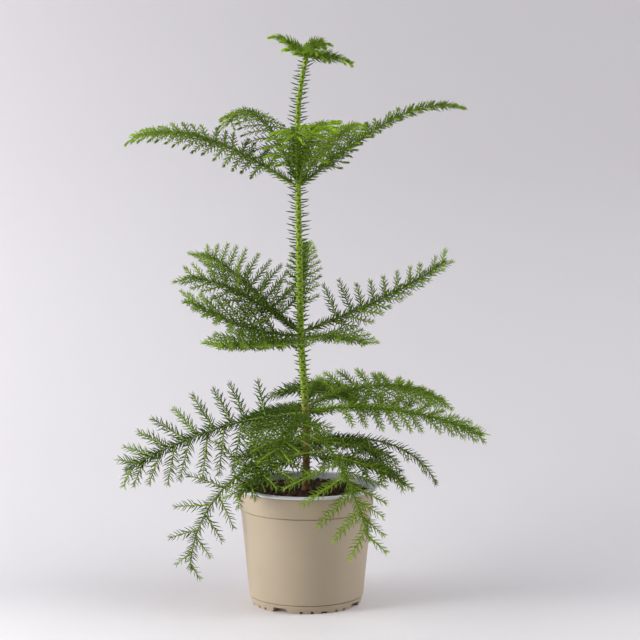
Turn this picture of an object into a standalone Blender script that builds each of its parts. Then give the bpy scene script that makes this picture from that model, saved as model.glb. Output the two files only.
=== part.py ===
"""Young Norfolk Island pine in a round plastic nursery pot.

The pine is one upright stem that carries its boughs in whorls, one above the
other. Every bough is a short bare limb that runs into a frond: a thin stem with
side twigs in one plane, each twig clothed in awl-shaped needles. All solids are
worked out from the sizes below. Units are metres, +Z is up, and the origin is
the middle of the pot's flat underside.
"""

import math
import random
from dataclasses import dataclass, field

import bmesh
import bpy
from mathutils import Matrix, Vector
from mathutils.bvhtree import BVHTree

UP = Vector((0.0, 0.0, 1.0))
CLEARANCE = 0.0003

# ---------------------------------------------------------------- pot and soil
POT_SEGMENTS = 40
SEAM_REACH = 0.000001
RIM_RADIUS = 0.085
RIM_HEIGHT = 0.1410
LIP_THICKNESS = 0.0028
LIP_ROUND = 0.0008
COLLAR_TOP_RADIUS = 0.0797
COLLAR_FOOT_RADIUS = 0.0788
COLLAR_FOOT_HEIGHT = 0.1146
COLLAR_STEP = 0.0011
BODY_FOOT_RADIUS = 0.0678
FOOT_RING_HEIGHT = 0.0106
FOOT_STEP = 0.0007
FOOT_RADIUS = 0.0647
WALL = 0.0025
FOOT_WALL = 0.0029
FLOOR_THICKNESS = 0.0068

SOIL_HEIGHT = 0.1320
SOIL_CROWN = 0.0022
SOIL_EDGE_FALL = 0.0015
SOIL_SHOULDER = 0.95
SOIL_FLAT_RADIUS = 0.012

# Drainage notches in the foot ring: width at the ground, width at the top, height.
WIDE_NOTCH = (0.0215, 0.0165, 0.0056)
SMALL_NOTCH = (0.0044, 0.0024, 0.0030)
SHALLOW_NOTCH = (0.0085, 0.0072, 0.0022)
NOTCH_QUARTERS = 4
FIRST_WIDE_NOTCH_DEG = 242.0
NOTCHES_IN_A_QUARTER = (
    (0.0, WIDE_NOTCH),
    (23.0, SMALL_NOTCH),
    (34.0, SMALL_NOTCH),
    (47.0, SHALLOW_NOTCH),
    (61.0, SMALL_NOTCH),
    (71.0, SMALL_NOTCH),
)
NOTCH_INNER_RADIUS = 0.0560
NOTCH_OUTER_RADIUS = 0.0720
NOTCH_BELOW = 0.002

# ----------------------------------------------------------------------- trunk
TRUNK_SIDES = 10
TRUNK_FOOT = SOIL_HEIGHT + SOIL_CROWN + CLEARANCE
# The stem's centre line: places that it passes through, from the soil to the tip.
TRUNK_WAY = (
    Vector((0.0000, 0.0000, TRUNK_FOOT)),
    Vector((-0.0008, 0.0010, 0.2250)),
    Vector((-0.0062, 0.0022, 0.3150)),
    Vector((-0.0087, 0.0008, 0.4420)),
    Vector((-0.0100, -0.0010, 0.5560)),
    Vector((-0.0070, -0.0004, 0.6040)),
    Vector((0.0005, 0.0010, 0.6450)),
)
TRUNK_FLARE_RADIUS = 0.0062
TRUNK_FOOT_RADIUS = 0.0044
TRUNK_TIP_RADIUS = 0.0024
FLARE_FADE = 0.006
FLARE_RINGS = (0.0, 0.004, 0.010, 0.020, 0.045)
TRUNK_PIECE = 0.045
LAST_TRUNK_PIECE = 0.020
PIECES_LEFT_FOR_THE_TIP = 1.5
HEIGHT_HALVINGS = 24
TRUNK_TAPER_BEND = 1.6
TIP_BLUNTING = 0.0015
BLUNT_TIP_SHARE = 0.5

# ------------------------------------------------------------- boughs and twigs
BOUGH_SIDES = 5
STEM_SIDES = 3
BOUGH_RADIUS = 0.0009
BOUGH_RADIUS_PER_LENGTH = 0.0038
STEM_TIP_RADIUS = 0.0006
STEM_PIECE = 0.026
LIMB_PIECES = 2
FOOT_STEP_OUT = 0.0001
BARE_SHARE = 0.19
TWIG_SPACING = 0.0272
TWIG_STAGGER = 0.22
TWIG_JITTER = 0.12
TWIG_ANGLE_AT_FOOT = 84.0
TWIG_ANGLE_AT_TIP = 36.0
TWIG_ANGLE_BEND = 1.8
TWIG_ANGLE_JITTER = 5.0
TWIG_LENGTH_JITTER = 0.14
# A twig's length beside the frond's longest: at the foot, in full, and at the tip.
FOOT_TWIG = 0.72
FULL_TWIGS_FROM = 0.30
FULL_TWIGS_TO = 0.35
TIP_TWIG = 0.36
LAST_TWIG_SHARE = 0.97
WIDEST_SPACING_SHARE = 0.30
TIP_SPRAY = 0.024
NEEDLE_REACH = 0.0084
BLADE_THICKNESS = 0.0013
BLADE_FOOT = 0.0014
BLADE_VALLEY = 0.0036
BLADE_ROLL_DEG = 38.0
BLADE_ROLL_JITTER = 8.0
UPRIGHT_BELOW = 0.001
TOOTH_PITCH = 0.034
MOST_TEETH = 3
TEETH_BEGIN = 0.04
TEETH_SPAN = 0.86
TOOTH_PEAK = 0.72
TOOTH_END = 0.98
LAST_TOOTH = 0.86
SHORTEST_TWIG = 0.013
WELD_REACHES = (0.00003, 0.00001)
# A triangle of a union that is lower than this is a sliver, and its longest edge is turned.
LEAST_FACE_HEIGHT = 0.000004
SLIVER_PASSES = 4
# A twig that would touch something is tried again at these shares of its length.
TRIED_LENGTHS = (1.0, 0.8, 0.6, 0.42)


@dataclass
class Bough:
    """One bough: where it points, how long it is and how it bends.

    Angles are in degrees. `heading` is seen from above, 0 along +X and 90 along
    +Y; it turns by `sweep` from foot to tip. The pitch above the level changes
    from `rise` at the foot to `tip_rise`, slowly at first where `bend` is large.

    `spread` is the longest side twig, and `right` is how long the twigs to the
    right of growth are beside those to the left. `roll` tips the frond's plane
    about its stem with the left side up, `cup` lifts both sides into a trough,
    and `droop` turns the twigs' ends down. `taper` is how late the twigs shorten
    towards the tip, and `step` is the foot's height above its whorl.
    """

    name: str
    heading: float
    length: float
    rise: float
    tip_rise: float
    spread: float
    sweep: float = 0.0
    bend: float = 1.5
    roll: float = 0.0
    cup: float = 0.0
    droop: float = 20.0
    right: float = 1.0
    taper: float = 1.5
    step: float = 0.0


@dataclass
class Whorl:
    """A ring of boughs that leave the trunk at one height."""

    height: float
    boughs: list = field(default_factory=list)


CROWN = Whorl(
    0.6410,
    [
        Bough("left", 169, 0.050, 43, -13, 0.017, sweep=-13, bend=3.0, step=0.0015),
        Bough("right", 5, 0.052, 2, -24, 0.018, bend=1.8, droop=34, step=0.003),
        Bough("back_right", 63, 0.056, 48, -43, 0.017, step=0.0025),
        Bough("back_left", 123, 0.042, 34, -29, 0.016, bend=2.2, step=0.001),
        Bough("front", 283, 0.036, 50, -34, 0.015, bend=1.3, step=-0.001),
    ],
)

UPPER = Whorl(
    0.4930,
    [
        Bough("left", 179, 0.207, 32, -17, 0.046, sweep=-10, bend=2.2, roll=-24, cup=14, droop=28),
        Bough(
            "right", 4, 0.222, 38, -14, 0.038, sweep=9, bend=3.0,
            roll=12, cup=12, droop=20, right=0.65,
        ),
        Bough("back_left", 122, 0.202, 49, -45, 0.041, bend=2.3, droop=30, step=0.003),
        Bough("back_right", 60, 0.190, 46, 4, 0.042, sweep=9, bend=0.8, droop=14, step=-0.002),
        Bough(
            "front_right", 288, 0.176, 68, -16, 0.040, sweep=-8, bend=1.1,
            roll=8, cup=18, droop=28, step=-0.006,
        ),
        Bough(
            "front_left", 266, 0.150, 55, -26, 0.038, sweep=6, bend=1.7,
            cup=12, droop=32, step=0.002,
        ),
    ],
)

MIDDLE = Whorl(
    0.3190,
    [
        Bough("left", 174, 0.153, 34, 0, 0.054, bend=2.5, roll=-30, cup=4, droop=-4, step=0.004),
        Bough(
            "right", 24, 0.206, 18, 32, 0.054, bend=2.3,
            roll=26, cup=14, droop=-8, taper=0.35, step=0.002,
        ),
        Bough("back_left", 144, 0.190, 33, 2, 0.052, sweep=-14, bend=4.0, roll=-16, cup=14, droop=-8),
        Bough("back_right", 88, 0.180, 62, 10, 0.024, bend=0.7, cup=16, droop=-16, step=0.005),
        Bough("front_left", 208, 0.152, 3, 30, 0.060, bend=0.8, roll=-24, cup=6, droop=0, step=-0.001),
        Bough("front", 233, 0.142, -1, 6, 0.062, sweep=-8, roll=-4, cup=8, droop=0, step=-0.005),
        Bough("front_right", 318, 0.102, 12, -7, 0.040, bend=0.8, roll=6, cup=6, droop=0, step=-0.004),
    ],
)

LOWER = Whorl(
    0.2260,
    [
        Bough("left", 164, 0.232, -3, -31, 0.064, sweep=18, bend=0.8, roll=-56, droop=6, taper=2.2),
        Bough(
            "right", 4, 0.214, 10, -24, 0.056, sweep=-4, bend=0.9,
            roll=16, cup=4, droop=12, step=0.002,
        ),
        Bough(
            "back_right", 40, 0.216, 21, -26, 0.064, sweep=-6, bend=1.0,
            roll=18, droop=10, step=0.006,
        ),
        Bough("back", 84, 0.190, 22, -27, 0.060, sweep=-12, bend=0.8, droop=26, step=0.010),
        Bough("back_left", 110, 0.168, -4, -34, 0.056, droop=14, step=0.003),
        Bough("front_left", 258, 0.142, 4, -28, 0.046, droop=18, right=1.4, step=-0.004),
        Bough(
            "front_right", 298, 0.198, -18, -56, 0.072, bend=1.0,
            roll=-8, droop=6, right=1.7, taper=0.8, step=-0.006,
        ),
    ],
)

LOWEST = Whorl(
    0.1840,
    [
        Bough("left", 196, 0.217, -4, -89, 0.053, bend=1.1, roll=-72, droop=6, step=0.001),
        Bough("right", 352, 0.172, 8, -66, 0.026, bend=2.0, droop=34, step=0.008),
        Bough("front_right", 336, 0.128, -4, -40, 0.044, sweep=8, bend=3.0, step=-0.007),
        Bough("back_right", 48, 0.165, 8, -62, 0.060, droop=22, step=0.001),
        Bough("back_left", 118, 0.160, 6, -62, 0.058, droop=22, step=-0.004),
        Bough("front_left", 229, 0.125, -8, -30, 0.052, droop=14, step=-0.005),
    ],
)

WHORLS = {
    "crown": CROWN,
    "upper": UPPER,
    "middle": MIDDLE,
    "lower": LOWER,
    "lowest": LOWEST,
}
# The crown's fronds are so short that their stems meet the trunk with no limb.
WHORLS_WITH_NO_LIMB = ("crown",)


# ============================================================ curves and sizes
def along(way, share):
    """A point of the smooth curve through `way`, at 0 its start and at 1 its end."""
    spans = len(way) - 1
    place = min(max(share, 0.0), 1.0) * spans
    i = min(int(place), spans - 1)
    u = place - i
    b, c = way[i], way[i + 1]
    a = way[i - 1] if i > 0 else b * 2 - c
    d = way[i + 2] if i + 2 < len(way) else c * 2 - b
    return 0.5 * (
        b * 2
        + (c - a) * u
        + (a * 2 - b * 5 + c * 4 - d) * u * u
        + (b * 3 - a - c * 3 + d) * u * u * u
    )


def trunk_at(height):
    """The trunk's centre at a height, found by halving along its curve."""
    low, high = 0.0, 1.0
    for _ in range(HEIGHT_HALVINGS):
        middle = (low + high) / 2
        if along(TRUNK_WAY, middle).z < height:
            low = middle
        else:
            high = middle
    return along(TRUNK_WAY, low)


def trunk_radius(height):
    """The trunk's radius: a slow taper, and a flare that dies out above the soil."""
    share = (height - TRUNK_FOOT) / (TRUNK_WAY[-1].z - TRUNK_FOOT)
    share = min(max(share, 0.0), 1.0)
    taper = (TRUNK_TIP_RADIUS - TRUNK_FOOT_RADIUS) * share**TRUNK_TAPER_BEND
    flare = (TRUNK_FLARE_RADIUS - TRUNK_FOOT_RADIUS) * math.exp((TRUNK_FOOT - height) / FLARE_FADE)
    return TRUNK_FOOT_RADIUS + taper + flare


def direction(heading, pitch):
    """A unit vector at this heading and pitch, in degrees."""
    h, p = math.radians(heading), math.radians(pitch)
    return Vector((math.cos(h) * math.cos(p), math.sin(h) * math.cos(p), math.sin(p)))


class Line:
    """A bough's centre line, from the trunk's middle to the tip."""

    PIECES = 32

    def __init__(self, whorl, bough):
        self.bough = bough
        place = trunk_at(whorl.height + bough.step)
        self.places = [place.copy()]
        self.ways = []
        for i in range(self.PIECES):
            share = (i + 0.5) / self.PIECES
            pitch = bough.rise + (bough.tip_rise - bough.rise) * share**bough.bend
            way = direction(bough.heading + bough.sweep * share, pitch)
            place = place + way * (bough.length / self.PIECES)
            self.ways.append(way)
            self.places.append(place.copy())

    def at(self, share):
        """The point at this share of the length."""
        place = min(max(share, 0.0), 1.0) * self.PIECES
        i = min(int(place), self.PIECES - 1)
        return self.places[i].lerp(self.places[i + 1], place - i)

    def way(self, share):
        """The direction of growth at this share of the length."""
        return self.ways[min(int(max(share, 0.0) * self.PIECES), self.PIECES - 1)]

    def side(self, share, side):
        """The direction across the frond, at `side` 1 to the left and -1 to the right."""
        way = self.way(share)
        turn = math.radians(self.bough.heading + self.bough.sweep * share)
        level = Vector((-math.sin(turn), math.cos(turn), 0.0))
        left = Matrix.Rotation(math.radians(self.bough.roll), 3, way) @ level
        cup = math.radians(self.bough.cup)
        return left * (side * math.cos(cup)) + way.cross(left) * math.sin(cup)


def stem_radius(bough, share):
    """A bough's radius along its whole length, limb and frond stem together."""
    foot = BOUGH_RADIUS + BOUGH_RADIUS_PER_LENGTH * bough.length
    return foot + (STEM_TIP_RADIUS - foot) * share


def twig_length(bough, share):
    """How long a bough's side twigs are: longest a third of the way out, short at the tip."""
    swell = min(1.0, FOOT_TWIG + (1.0 - FOOT_TWIG) * share / FULL_TWIGS_FROM)
    fall = max(0.0, (share - FULL_TWIGS_TO) / (1.0 - FULL_TWIGS_TO))
    return bough.spread * swell * (1.0 - (1.0 - TIP_TWIG) * fall**bough.taper)


def twig_angle(share):
    """The angle in degrees between a twig and its stem, at this share of the length."""
    return TWIG_ANGLE_AT_FOOT + (TWIG_ANGLE_AT_TIP - TWIG_ANGLE_AT_FOOT) * share**TWIG_ANGLE_BEND


def twigs(line, first, spacing, seed):
    """Works out the frond's side twigs in pairs.

    Returns (foot, way, length, side) for each: `way` is the direction in which
    the twig leaves, and `side` is 1 to the left of growth and -1 to the right.
    """
    bough = line.bough
    rng = random.Random(seed)
    pairs = max(1, round((1.0 - first) * bough.length / spacing))
    made = []
    for i in range(pairs):
        for side in (1, -1):
            place = i + 0.5 + TWIG_STAGGER * side + rng.uniform(-TWIG_JITTER, TWIG_JITTER)
            share = min(first + (1.0 - first) * place / pairs, LAST_TWIG_SHARE)
            jitter = rng.uniform(-TWIG_ANGLE_JITTER, TWIG_ANGLE_JITTER)
            angle = math.radians(twig_angle(share) + jitter)
            leave = line.way(share) * math.cos(angle) + line.side(share, side) * math.sin(angle)
            length = twig_length(bough, share) * (1.0 if side > 0 else bough.right)
            length *= 1.0 - rng.uniform(0.0, TWIG_LENGTH_JITTER)
            made.append((line.at(share), leave.normalized(), length, side))
    return made


def twig_line(foot, way, length, droop, share):
    """A point of a twig that leaves along `way` and turns down by `droop` degrees."""
    drop = math.tan(math.radians(droop)) * length * share * share / 2
    return foot + way * (length * share) - UP * drop


# ================================================================ mesh helpers
def new_object(name, mesh_builder, material, shade_deg=40.0):
    """Turns a bmesh into a named object with its material."""
    mesh = bpy.data.meshes.new(name)
    bmesh.ops.recalc_face_normals(mesh_builder, faces=mesh_builder.faces)
    mesh_builder.to_mesh(mesh)
    mesh_builder.free()
    mesh.shade_smooth()
    mesh.set_sharp_from_angle(angle=math.radians(shade_deg))
    mesh.materials.append(material)
    obj = bpy.data.objects.new(name, mesh)
    bpy.context.scene.collection.objects.link(obj)
    return obj


def plain_material(name, colour, roughness):
    """A Principled surface of one colour."""
    made = bpy.data.materials.new(name)
    made.use_nodes = True
    surface = made.node_tree.nodes["Principled BSDF"]
    surface.inputs["Base Color"].default_value = (*colour, 1.0)
    surface.inputs["Roughness"].default_value = roughness
    surface.inputs["Metallic"].default_value = 0.0
    return made


def turned(profile, segments):
    """A solid of revolution from (radius, height) points that run from axis to axis."""
    made = bmesh.new()
    ring = [made.verts.new((r, 0.0, z)) for r, z in profile]
    edges = [made.edges.new(pair) for pair in zip(ring, ring[1:])]
    bmesh.ops.spin(
        made,
        geom=ring + edges,
        cent=(0, 0, 0),
        axis=(0, 0, 1),
        angle=math.tau,
        steps=segments,
        use_merge=True,
    )
    bmesh.ops.remove_doubles(made, verts=made.verts, dist=SEAM_REACH)
    return made


def points_and_faces(made):
    """The points and faces of a bmesh, which is then freed."""
    made.verts.index_update()
    points = [v.co.copy() for v in made.verts]
    faces = [tuple(v.index for v in f.verts) for f in made.faces]
    made.free()
    return points, faces


def rings_along(centres, radii, sides, level=False):
    """Rings of points round a centre line, turned no more than it needs from one to the next."""
    rings = []
    across = None
    for i, (centre, radius) in enumerate(zip(centres, radii)):
        before, after = centres[max(i - 1, 0)], centres[min(i + 1, len(centres) - 1)]
        way = UP.copy() if level else (after - before).normalized()
        if across is None:
            across = way.orthogonal().normalized()
        across = (across - way * across.dot(way)).normalized()
        other = way.cross(across)
        turns = [math.tau * k / sides for k in range(sides)]
        rings.append(
            [
                centre + across * (radius * math.cos(t)) + other * (radius * math.sin(t))
                for t in turns
            ]
        )
    return rings


def tube(centres, radii, sides, level=False):
    """A closed tube with flat ends along a centre line."""
    made = bmesh.new()
    rings = [
        [made.verts.new(p) for p in ring]
        for ring in rings_along(centres, radii, sides, level)
    ]
    for a, b in zip(rings, rings[1:]):
        for k in range(sides):
            n = (k + 1) % sides
            made.faces.new((a[k], a[n], b[n], b[k]))
    made.faces.new(rings[0][::-1])
    made.faces.new(rings[-1])
    return made


# ================================================================ pot and soil
def pot_inner_radius(height):
    """The inside of the pot's wall, an even taper from the floor to the rim."""
    foot, top = BODY_FOOT_RADIUS - FOOT_WALL, COLLAR_TOP_RADIUS - WALL
    return foot + (top - foot) * height / RIM_HEIGHT


def pot_profile():
    """The pot's section: underside, foot ring, body, collar, lip and inside."""
    under_lip = RIM_HEIGHT - LIP_THICKNESS
    return (
        (0.0, 0.0),
        (FOOT_RADIUS, 0.0),
        (BODY_FOOT_RADIUS - FOOT_STEP, FOOT_RING_HEIGHT - FOOT_STEP),
        (BODY_FOOT_RADIUS, FOOT_RING_HEIGHT),
        (COLLAR_FOOT_RADIUS - COLLAR_STEP, COLLAR_FOOT_HEIGHT - COLLAR_STEP),
        (COLLAR_FOOT_RADIUS, COLLAR_FOOT_HEIGHT),
        (COLLAR_TOP_RADIUS, under_lip - LIP_ROUND),
        (RIM_RADIUS - LIP_ROUND, under_lip),
        (RIM_RADIUS, under_lip + LIP_ROUND),
        (RIM_RADIUS - LIP_ROUND, RIM_HEIGHT),
        (pot_inner_radius(RIM_HEIGHT) + LIP_ROUND, RIM_HEIGHT),
        (pot_inner_radius(under_lip), under_lip),
        (pot_inner_radius(FLOOR_THICKNESS), FLOOR_THICKNESS),
        (0.0, FLOOR_THICKNESS),
    )


def notch_prism(made, centre_deg, sizes):
    """Adds one cutter to a mesh: a block that narrows upwards, along a radius."""
    foot_width, top_width, height = sizes
    turn = Matrix.Rotation(math.radians(centre_deg), 3, "Z")
    corners = []
    for radius in (NOTCH_INNER_RADIUS, NOTCH_OUTER_RADIUS):
        for width, z in (
            (-foot_width, -NOTCH_BELOW),
            (foot_width, -NOTCH_BELOW),
            (top_width, height),
            (-top_width, height),
        ):
            corners.append(made.verts.new(turn @ Vector((radius, width / 2, z))))
    inner, outer = corners[:4], corners[4:]
    made.faces.new(inner[::-1])
    made.faces.new(outer)
    for k in range(4):
        n = (k + 1) % 4
        made.faces.new((inner[k], inner[n], outer[n], outer[k]))


def make_pot(material):
    """The nursery pot, with its drainage notches cut through the foot ring."""
    pot = new_object("pot", turned(pot_profile(), POT_SEGMENTS), material)
    cutter_mesh = bmesh.new()
    for quarter in range(NOTCH_QUARTERS):
        start = FIRST_WIDE_NOTCH_DEG + 360.0 / NOTCH_QUARTERS * quarter
        for offset, sizes in NOTCHES_IN_A_QUARTER:
            notch_prism(cutter_mesh, start + offset, sizes)
    cutter = new_object("foot_notch_cutter", cutter_mesh, material)
    cutter.hide_render = True
    cutter.display_type = "WIRE"
    cut = pot.modifiers.new("foot_notches", "BOOLEAN")
    cut.operation = "DIFFERENCE"
    cut.solver = "EXACT"
    cut.object = cutter
    return pot


def make_soil(material):
    """The potting mix that fills the pot, slightly domed towards the stem."""
    foot, top = FLOOR_THICKNESS + CLEARANCE, SOIL_HEIGHT
    edge = pot_inner_radius(top) - CLEARANCE
    profile = (
        (0.0, foot),
        (pot_inner_radius(foot) - CLEARANCE, foot),
        (edge, top - SOIL_EDGE_FALL),
        (edge * SOIL_SHOULDER, top),
        (SOIL_FLAT_RADIUS, top + SOIL_CROWN),
        (0.0, top + SOIL_CROWN),
    )
    return new_object("soil", turned(profile, POT_SEGMENTS), material)


# ======================================================================= plant
def make_trunk(material):
    """The stem from its flat foot on the soil to its blunt tip."""
    top = TRUNK_WAY[-1].z
    heights = [TRUNK_FOOT + rise for rise in FLARE_RINGS]
    while heights[-1] < top - PIECES_LEFT_FOR_THE_TIP * TRUNK_PIECE:
        heights.append(heights[-1] + TRUNK_PIECE)
    heights += [top - LAST_TRUNK_PIECE, top]
    centres = [trunk_at(h) for h in heights]
    centres[0].z = TRUNK_FOOT
    radii = [trunk_radius(h) for h in heights]
    centres.append(centres[-1] + UP * TIP_BLUNTING)
    radii.append(TRUNK_TIP_RADIUS * BLUNT_TIP_SHARE)
    return new_object("trunk", tube(centres, radii, TRUNK_SIDES, True), material)


def blade(foot, way, length, droop, roll_deg, swell=0.0):
    """A toothed blade that stands for one needle-clothed twig.

    Args:
        foot, way, length, droop: the twig's centre line.
        roll_deg: how far the blade's flat side is turned about the twig.
        swell: how much every face is moved out, to test for clearance.

    Returns:
        (points, faces) of a closed mesh.
    """
    teeth = max(1, min(MOST_TEETH, round(length / TOOTH_PITCH)))
    pitch = length * TEETH_SPAN / teeth
    stations = [(0.0, BLADE_FOOT)]
    for k in range(teeth):
        begin = length * TEETH_BEGIN + pitch * k
        reach = NEEDLE_REACH * (1.0 if k + 1 < teeth else LAST_TOOTH)
        stations.append((begin + pitch * TOOTH_PEAK, reach))
        if k + 1 < teeth:
            stations.append((begin + pitch * TOOTH_END, BLADE_VALLEY))
    flat = UP.cross(way)
    flat = flat.normalized() if flat.length > UPRIGHT_BELOW else way.orthogonal().normalized()
    flat = Matrix.Rotation(math.radians(roll_deg), 3, way) @ flat
    normal = way.cross(flat).normalized()
    half = BLADE_THICKNESS / 2 + swell
    points = []
    for place, reach in stations:
        centre = twig_line(foot, way, length, droop, place / length)
        for across in (-reach - swell, reach + swell):
            for lift in (-half, half):
                points.append(centre + flat * across + normal * lift)
    tip = twig_line(foot, way, length + swell, droop, 1.0)
    last = len(points)
    points += [tip - normal * half, tip + normal * half]
    faces = [(0, 1, 3), (0, 3, 2)]
    for i in range(len(stations) - 1):
        a, b = 4 * i, 4 * i + 4
        faces += [(a, a + 2, b + 2), (a, b + 2, b)]
        faces += [(a + 1, b + 1, b + 3), (a + 1, b + 3, a + 3)]
        faces += [(a, b, b + 1), (a, b + 1, a + 1)]
        faces += [(a + 2, a + 3, b + 3), (a + 2, b + 3, b + 2)]
    a = last - 4
    faces += [(a, a + 2, last), (a + 1, last + 1, a + 3)]
    faces += [(a, last, last + 1), (a, last + 1, a + 1)]
    faces += [(a + 2, a + 3, last + 1), (a + 2, last + 1, last)]
    return points, faces


class Occupied:
    """What is already in place, so that each node keeps to its own space."""

    def __init__(self):
        self.taken = []

    def add(self, node, points, faces):
        """Notes one closed mesh that belongs to a node."""
        low = Vector(min(p[k] for p in points) for k in range(3))
        high = Vector(max(p[k] for p in points) for k in range(3))
        self.taken.append((node, low, high, BVHTree.FromPolygons(points, faces)))

    def add_object(self, obj):
        """Notes an object's mesh as it is before its modifiers."""
        mesh = obj.data
        points = [v.co.copy() for v in mesh.vertices]
        self.add(obj.name, points, [tuple(p.vertices) for p in mesh.polygons])

    def is_free(self, node, points, faces):
        """Whether a mesh is clear of every other node's."""
        low = [min(p[k] for p in points) for k in range(3)]
        high = [max(p[k] for p in points) for k in range(3)]
        tree = None
        for other, other_low, other_high, other_tree in self.taken:
            if other == node:
                continue
            if any(low[k] > other_high[k] or high[k] < other_low[k] for k in range(3)):
                continue
            tree = tree or BVHTree.FromPolygons(points, faces)
            if tree.overlap(other_tree):
                return False
        return True


def stretch(line, begin, end, pieces):
    """Centres and radii of part of a bough, between two shares of its length."""
    shares = [begin + (end - begin) * i / pieces for i in range(pieces + 1)]
    return [line.at(s) for s in shares], [stem_radius(line.bough, s) for s in shares]


def stem_way(line, begin):
    """Centres and radii of a frond's stem."""
    pieces = max(2, round(line.bough.length * (1.0 - begin) / STEM_PIECE))
    return stretch(line, begin, LAST_TWIG_SHARE, pieces)


def foot_share(name, line, occupied):
    """The share of the length at which a bough just clears the trunk."""
    gap = CLEARANCE / line.bough.length
    share = gap
    while share < BARE_SHARE:
        centres, radii = stretch(line, share - gap, share + BARE_SHARE / 2, 1)
        fat = [radius + CLEARANCE for radius in radii]
        if occupied.is_free(name, *points_and_faces(tube(centres, fat, BOUGH_SIDES))):
            break
        share += FOOT_STEP_OUT / line.bough.length
    return share


def make_limb(name, line, foot, begin, occupied, material):
    """The bare limb between the trunk and the frond."""
    gap = CLEARANCE / line.bough.length
    limb = tube(*stretch(line, foot, begin - gap, LIMB_PIECES), BOUGH_SIDES)
    made = new_object(name, limb, material)
    occupied.add_object(made)
    return made


def make_frond(name, line, begin, occupied, material):
    """A three-sided stem with a toothed blade for each twig, made one."""
    bough = line.bough
    stem = new_object(name, tube(*stem_way(line, begin), STEM_SIDES), material)
    occupied.add_object(stem)
    group = bpy.data.collections.new(name + "_twigs")
    bpy.context.scene.collection.children.link(group)
    rng = random.Random(name + " blades")
    spacing = min(TWIG_SPACING, bough.length * WIDEST_SPACING_SHARE)
    wanted = twigs(line, begin, spacing, name)
    wanted.append((line.at(1.0) - line.way(1.0) * TIP_SPRAY, line.way(1.0), TIP_SPRAY, 1))
    for i, (foot, way, length, side) in enumerate(wanted):
        roll = side * BLADE_ROLL_DEG * (1 if i % 4 < 2 else -1)
        roll += rng.uniform(-BLADE_ROLL_JITTER, BLADE_ROLL_JITTER)
        for shorter in TRIED_LENGTHS:
            size = (foot, way, length * shorter, bough.droop, roll)
            if length * shorter < SHORTEST_TWIG:
                break
            if occupied.is_free(name, *blade(*size, swell=CLEARANCE)):
                points, faces = blade(*size)
                occupied.add(name, points, faces)
                mesh = bmesh.new()
                corners = [mesh.verts.new(p) for p in points]
                for face in faces:
                    mesh.faces.new([corners[k] for k in face])
                twig = new_object(f"{name}_twig_{i}", mesh, material)
                bpy.context.scene.collection.objects.unlink(twig)
                group.objects.link(twig)
                break
    join(stem, group)
    return stem


def is_one_closed_body(made):
    """Whether a mesh is closed, and all of its faces hang together."""
    made.faces.ensure_lookup_table()
    reached, waiting = {made.faces[0]}, [made.faces[0]]
    while waiting:
        for edge in waiting.pop().edges:
            for face in edge.link_faces:
                if face not in reached:
                    reached.add(face)
                    waiting.append(face)
    closed = all(len(edge.link_faces) == 2 for edge in made.edges)
    return closed and len(reached) == len(made.faces)


def longest_edge(face):
    """The longest edge of a triangle."""
    return max(face.edges, key=lambda edge: edge.calc_length())


def is_sliver(face):
    """Whether a triangle is hardly higher than a line."""
    return 2 * face.calc_area() < LEAST_FACE_HEIGHT * longest_edge(face).calc_length()


def turn_slivers(made):
    """Turns the longest edge of each sliver, so that it joins the triangle beside it."""
    for _ in range(SLIVER_PASSES):
        for face in [f for f in made.faces if is_sliver(f)]:
            if not face.is_valid:
                continue
            edge = longest_edge(face)
            ends = [v for f in edge.link_faces for v in f.verts if v not in edge.verts]
            if len(ends) == 2 and not any(ends[1] in e.verts for e in ends[0].link_edges):
                bmesh.utils.edge_rotate(edge)


def weld(mesh):
    """Welds the corners that a union leaves a hair apart, where that keeps one closed body."""
    for reach in WELD_REACHES:
        made = bmesh.new()
        made.from_mesh(mesh)
        bmesh.ops.remove_doubles(made, verts=made.verts, dist=reach)
        bmesh.ops.triangulate(made, faces=made.faces)
        bmesh.ops.dissolve_degenerate(made, edges=made.edges, dist=reach)
        bmesh.ops.triangulate(made, faces=made.faces)
        turn_slivers(made)
        good = is_one_closed_body(made)
        if good:
            made.to_mesh(mesh)
        made.free()
        if good:
            return


def join(stem, group):
    """Joins a frond's stem and its blades by one Boolean union, and applies it."""
    union = stem.modifiers.new("twigs", "BOOLEAN")
    union.operation = "UNION"
    union.solver = "EXACT"
    union.operand_type = "COLLECTION"
    union.collection = group
    bpy.context.view_layer.update()
    graph = bpy.context.evaluated_depsgraph_get()
    joined = bpy.data.meshes.new_from_object(stem.evaluated_get(graph))
    weld(joined)
    stem.modifiers.clear()
    old = stem.data
    stem.data = joined
    bpy.data.meshes.remove(old)
    for twig in list(group.objects):
        bpy.data.objects.remove(twig)
    bpy.data.collections.remove(group)


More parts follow.
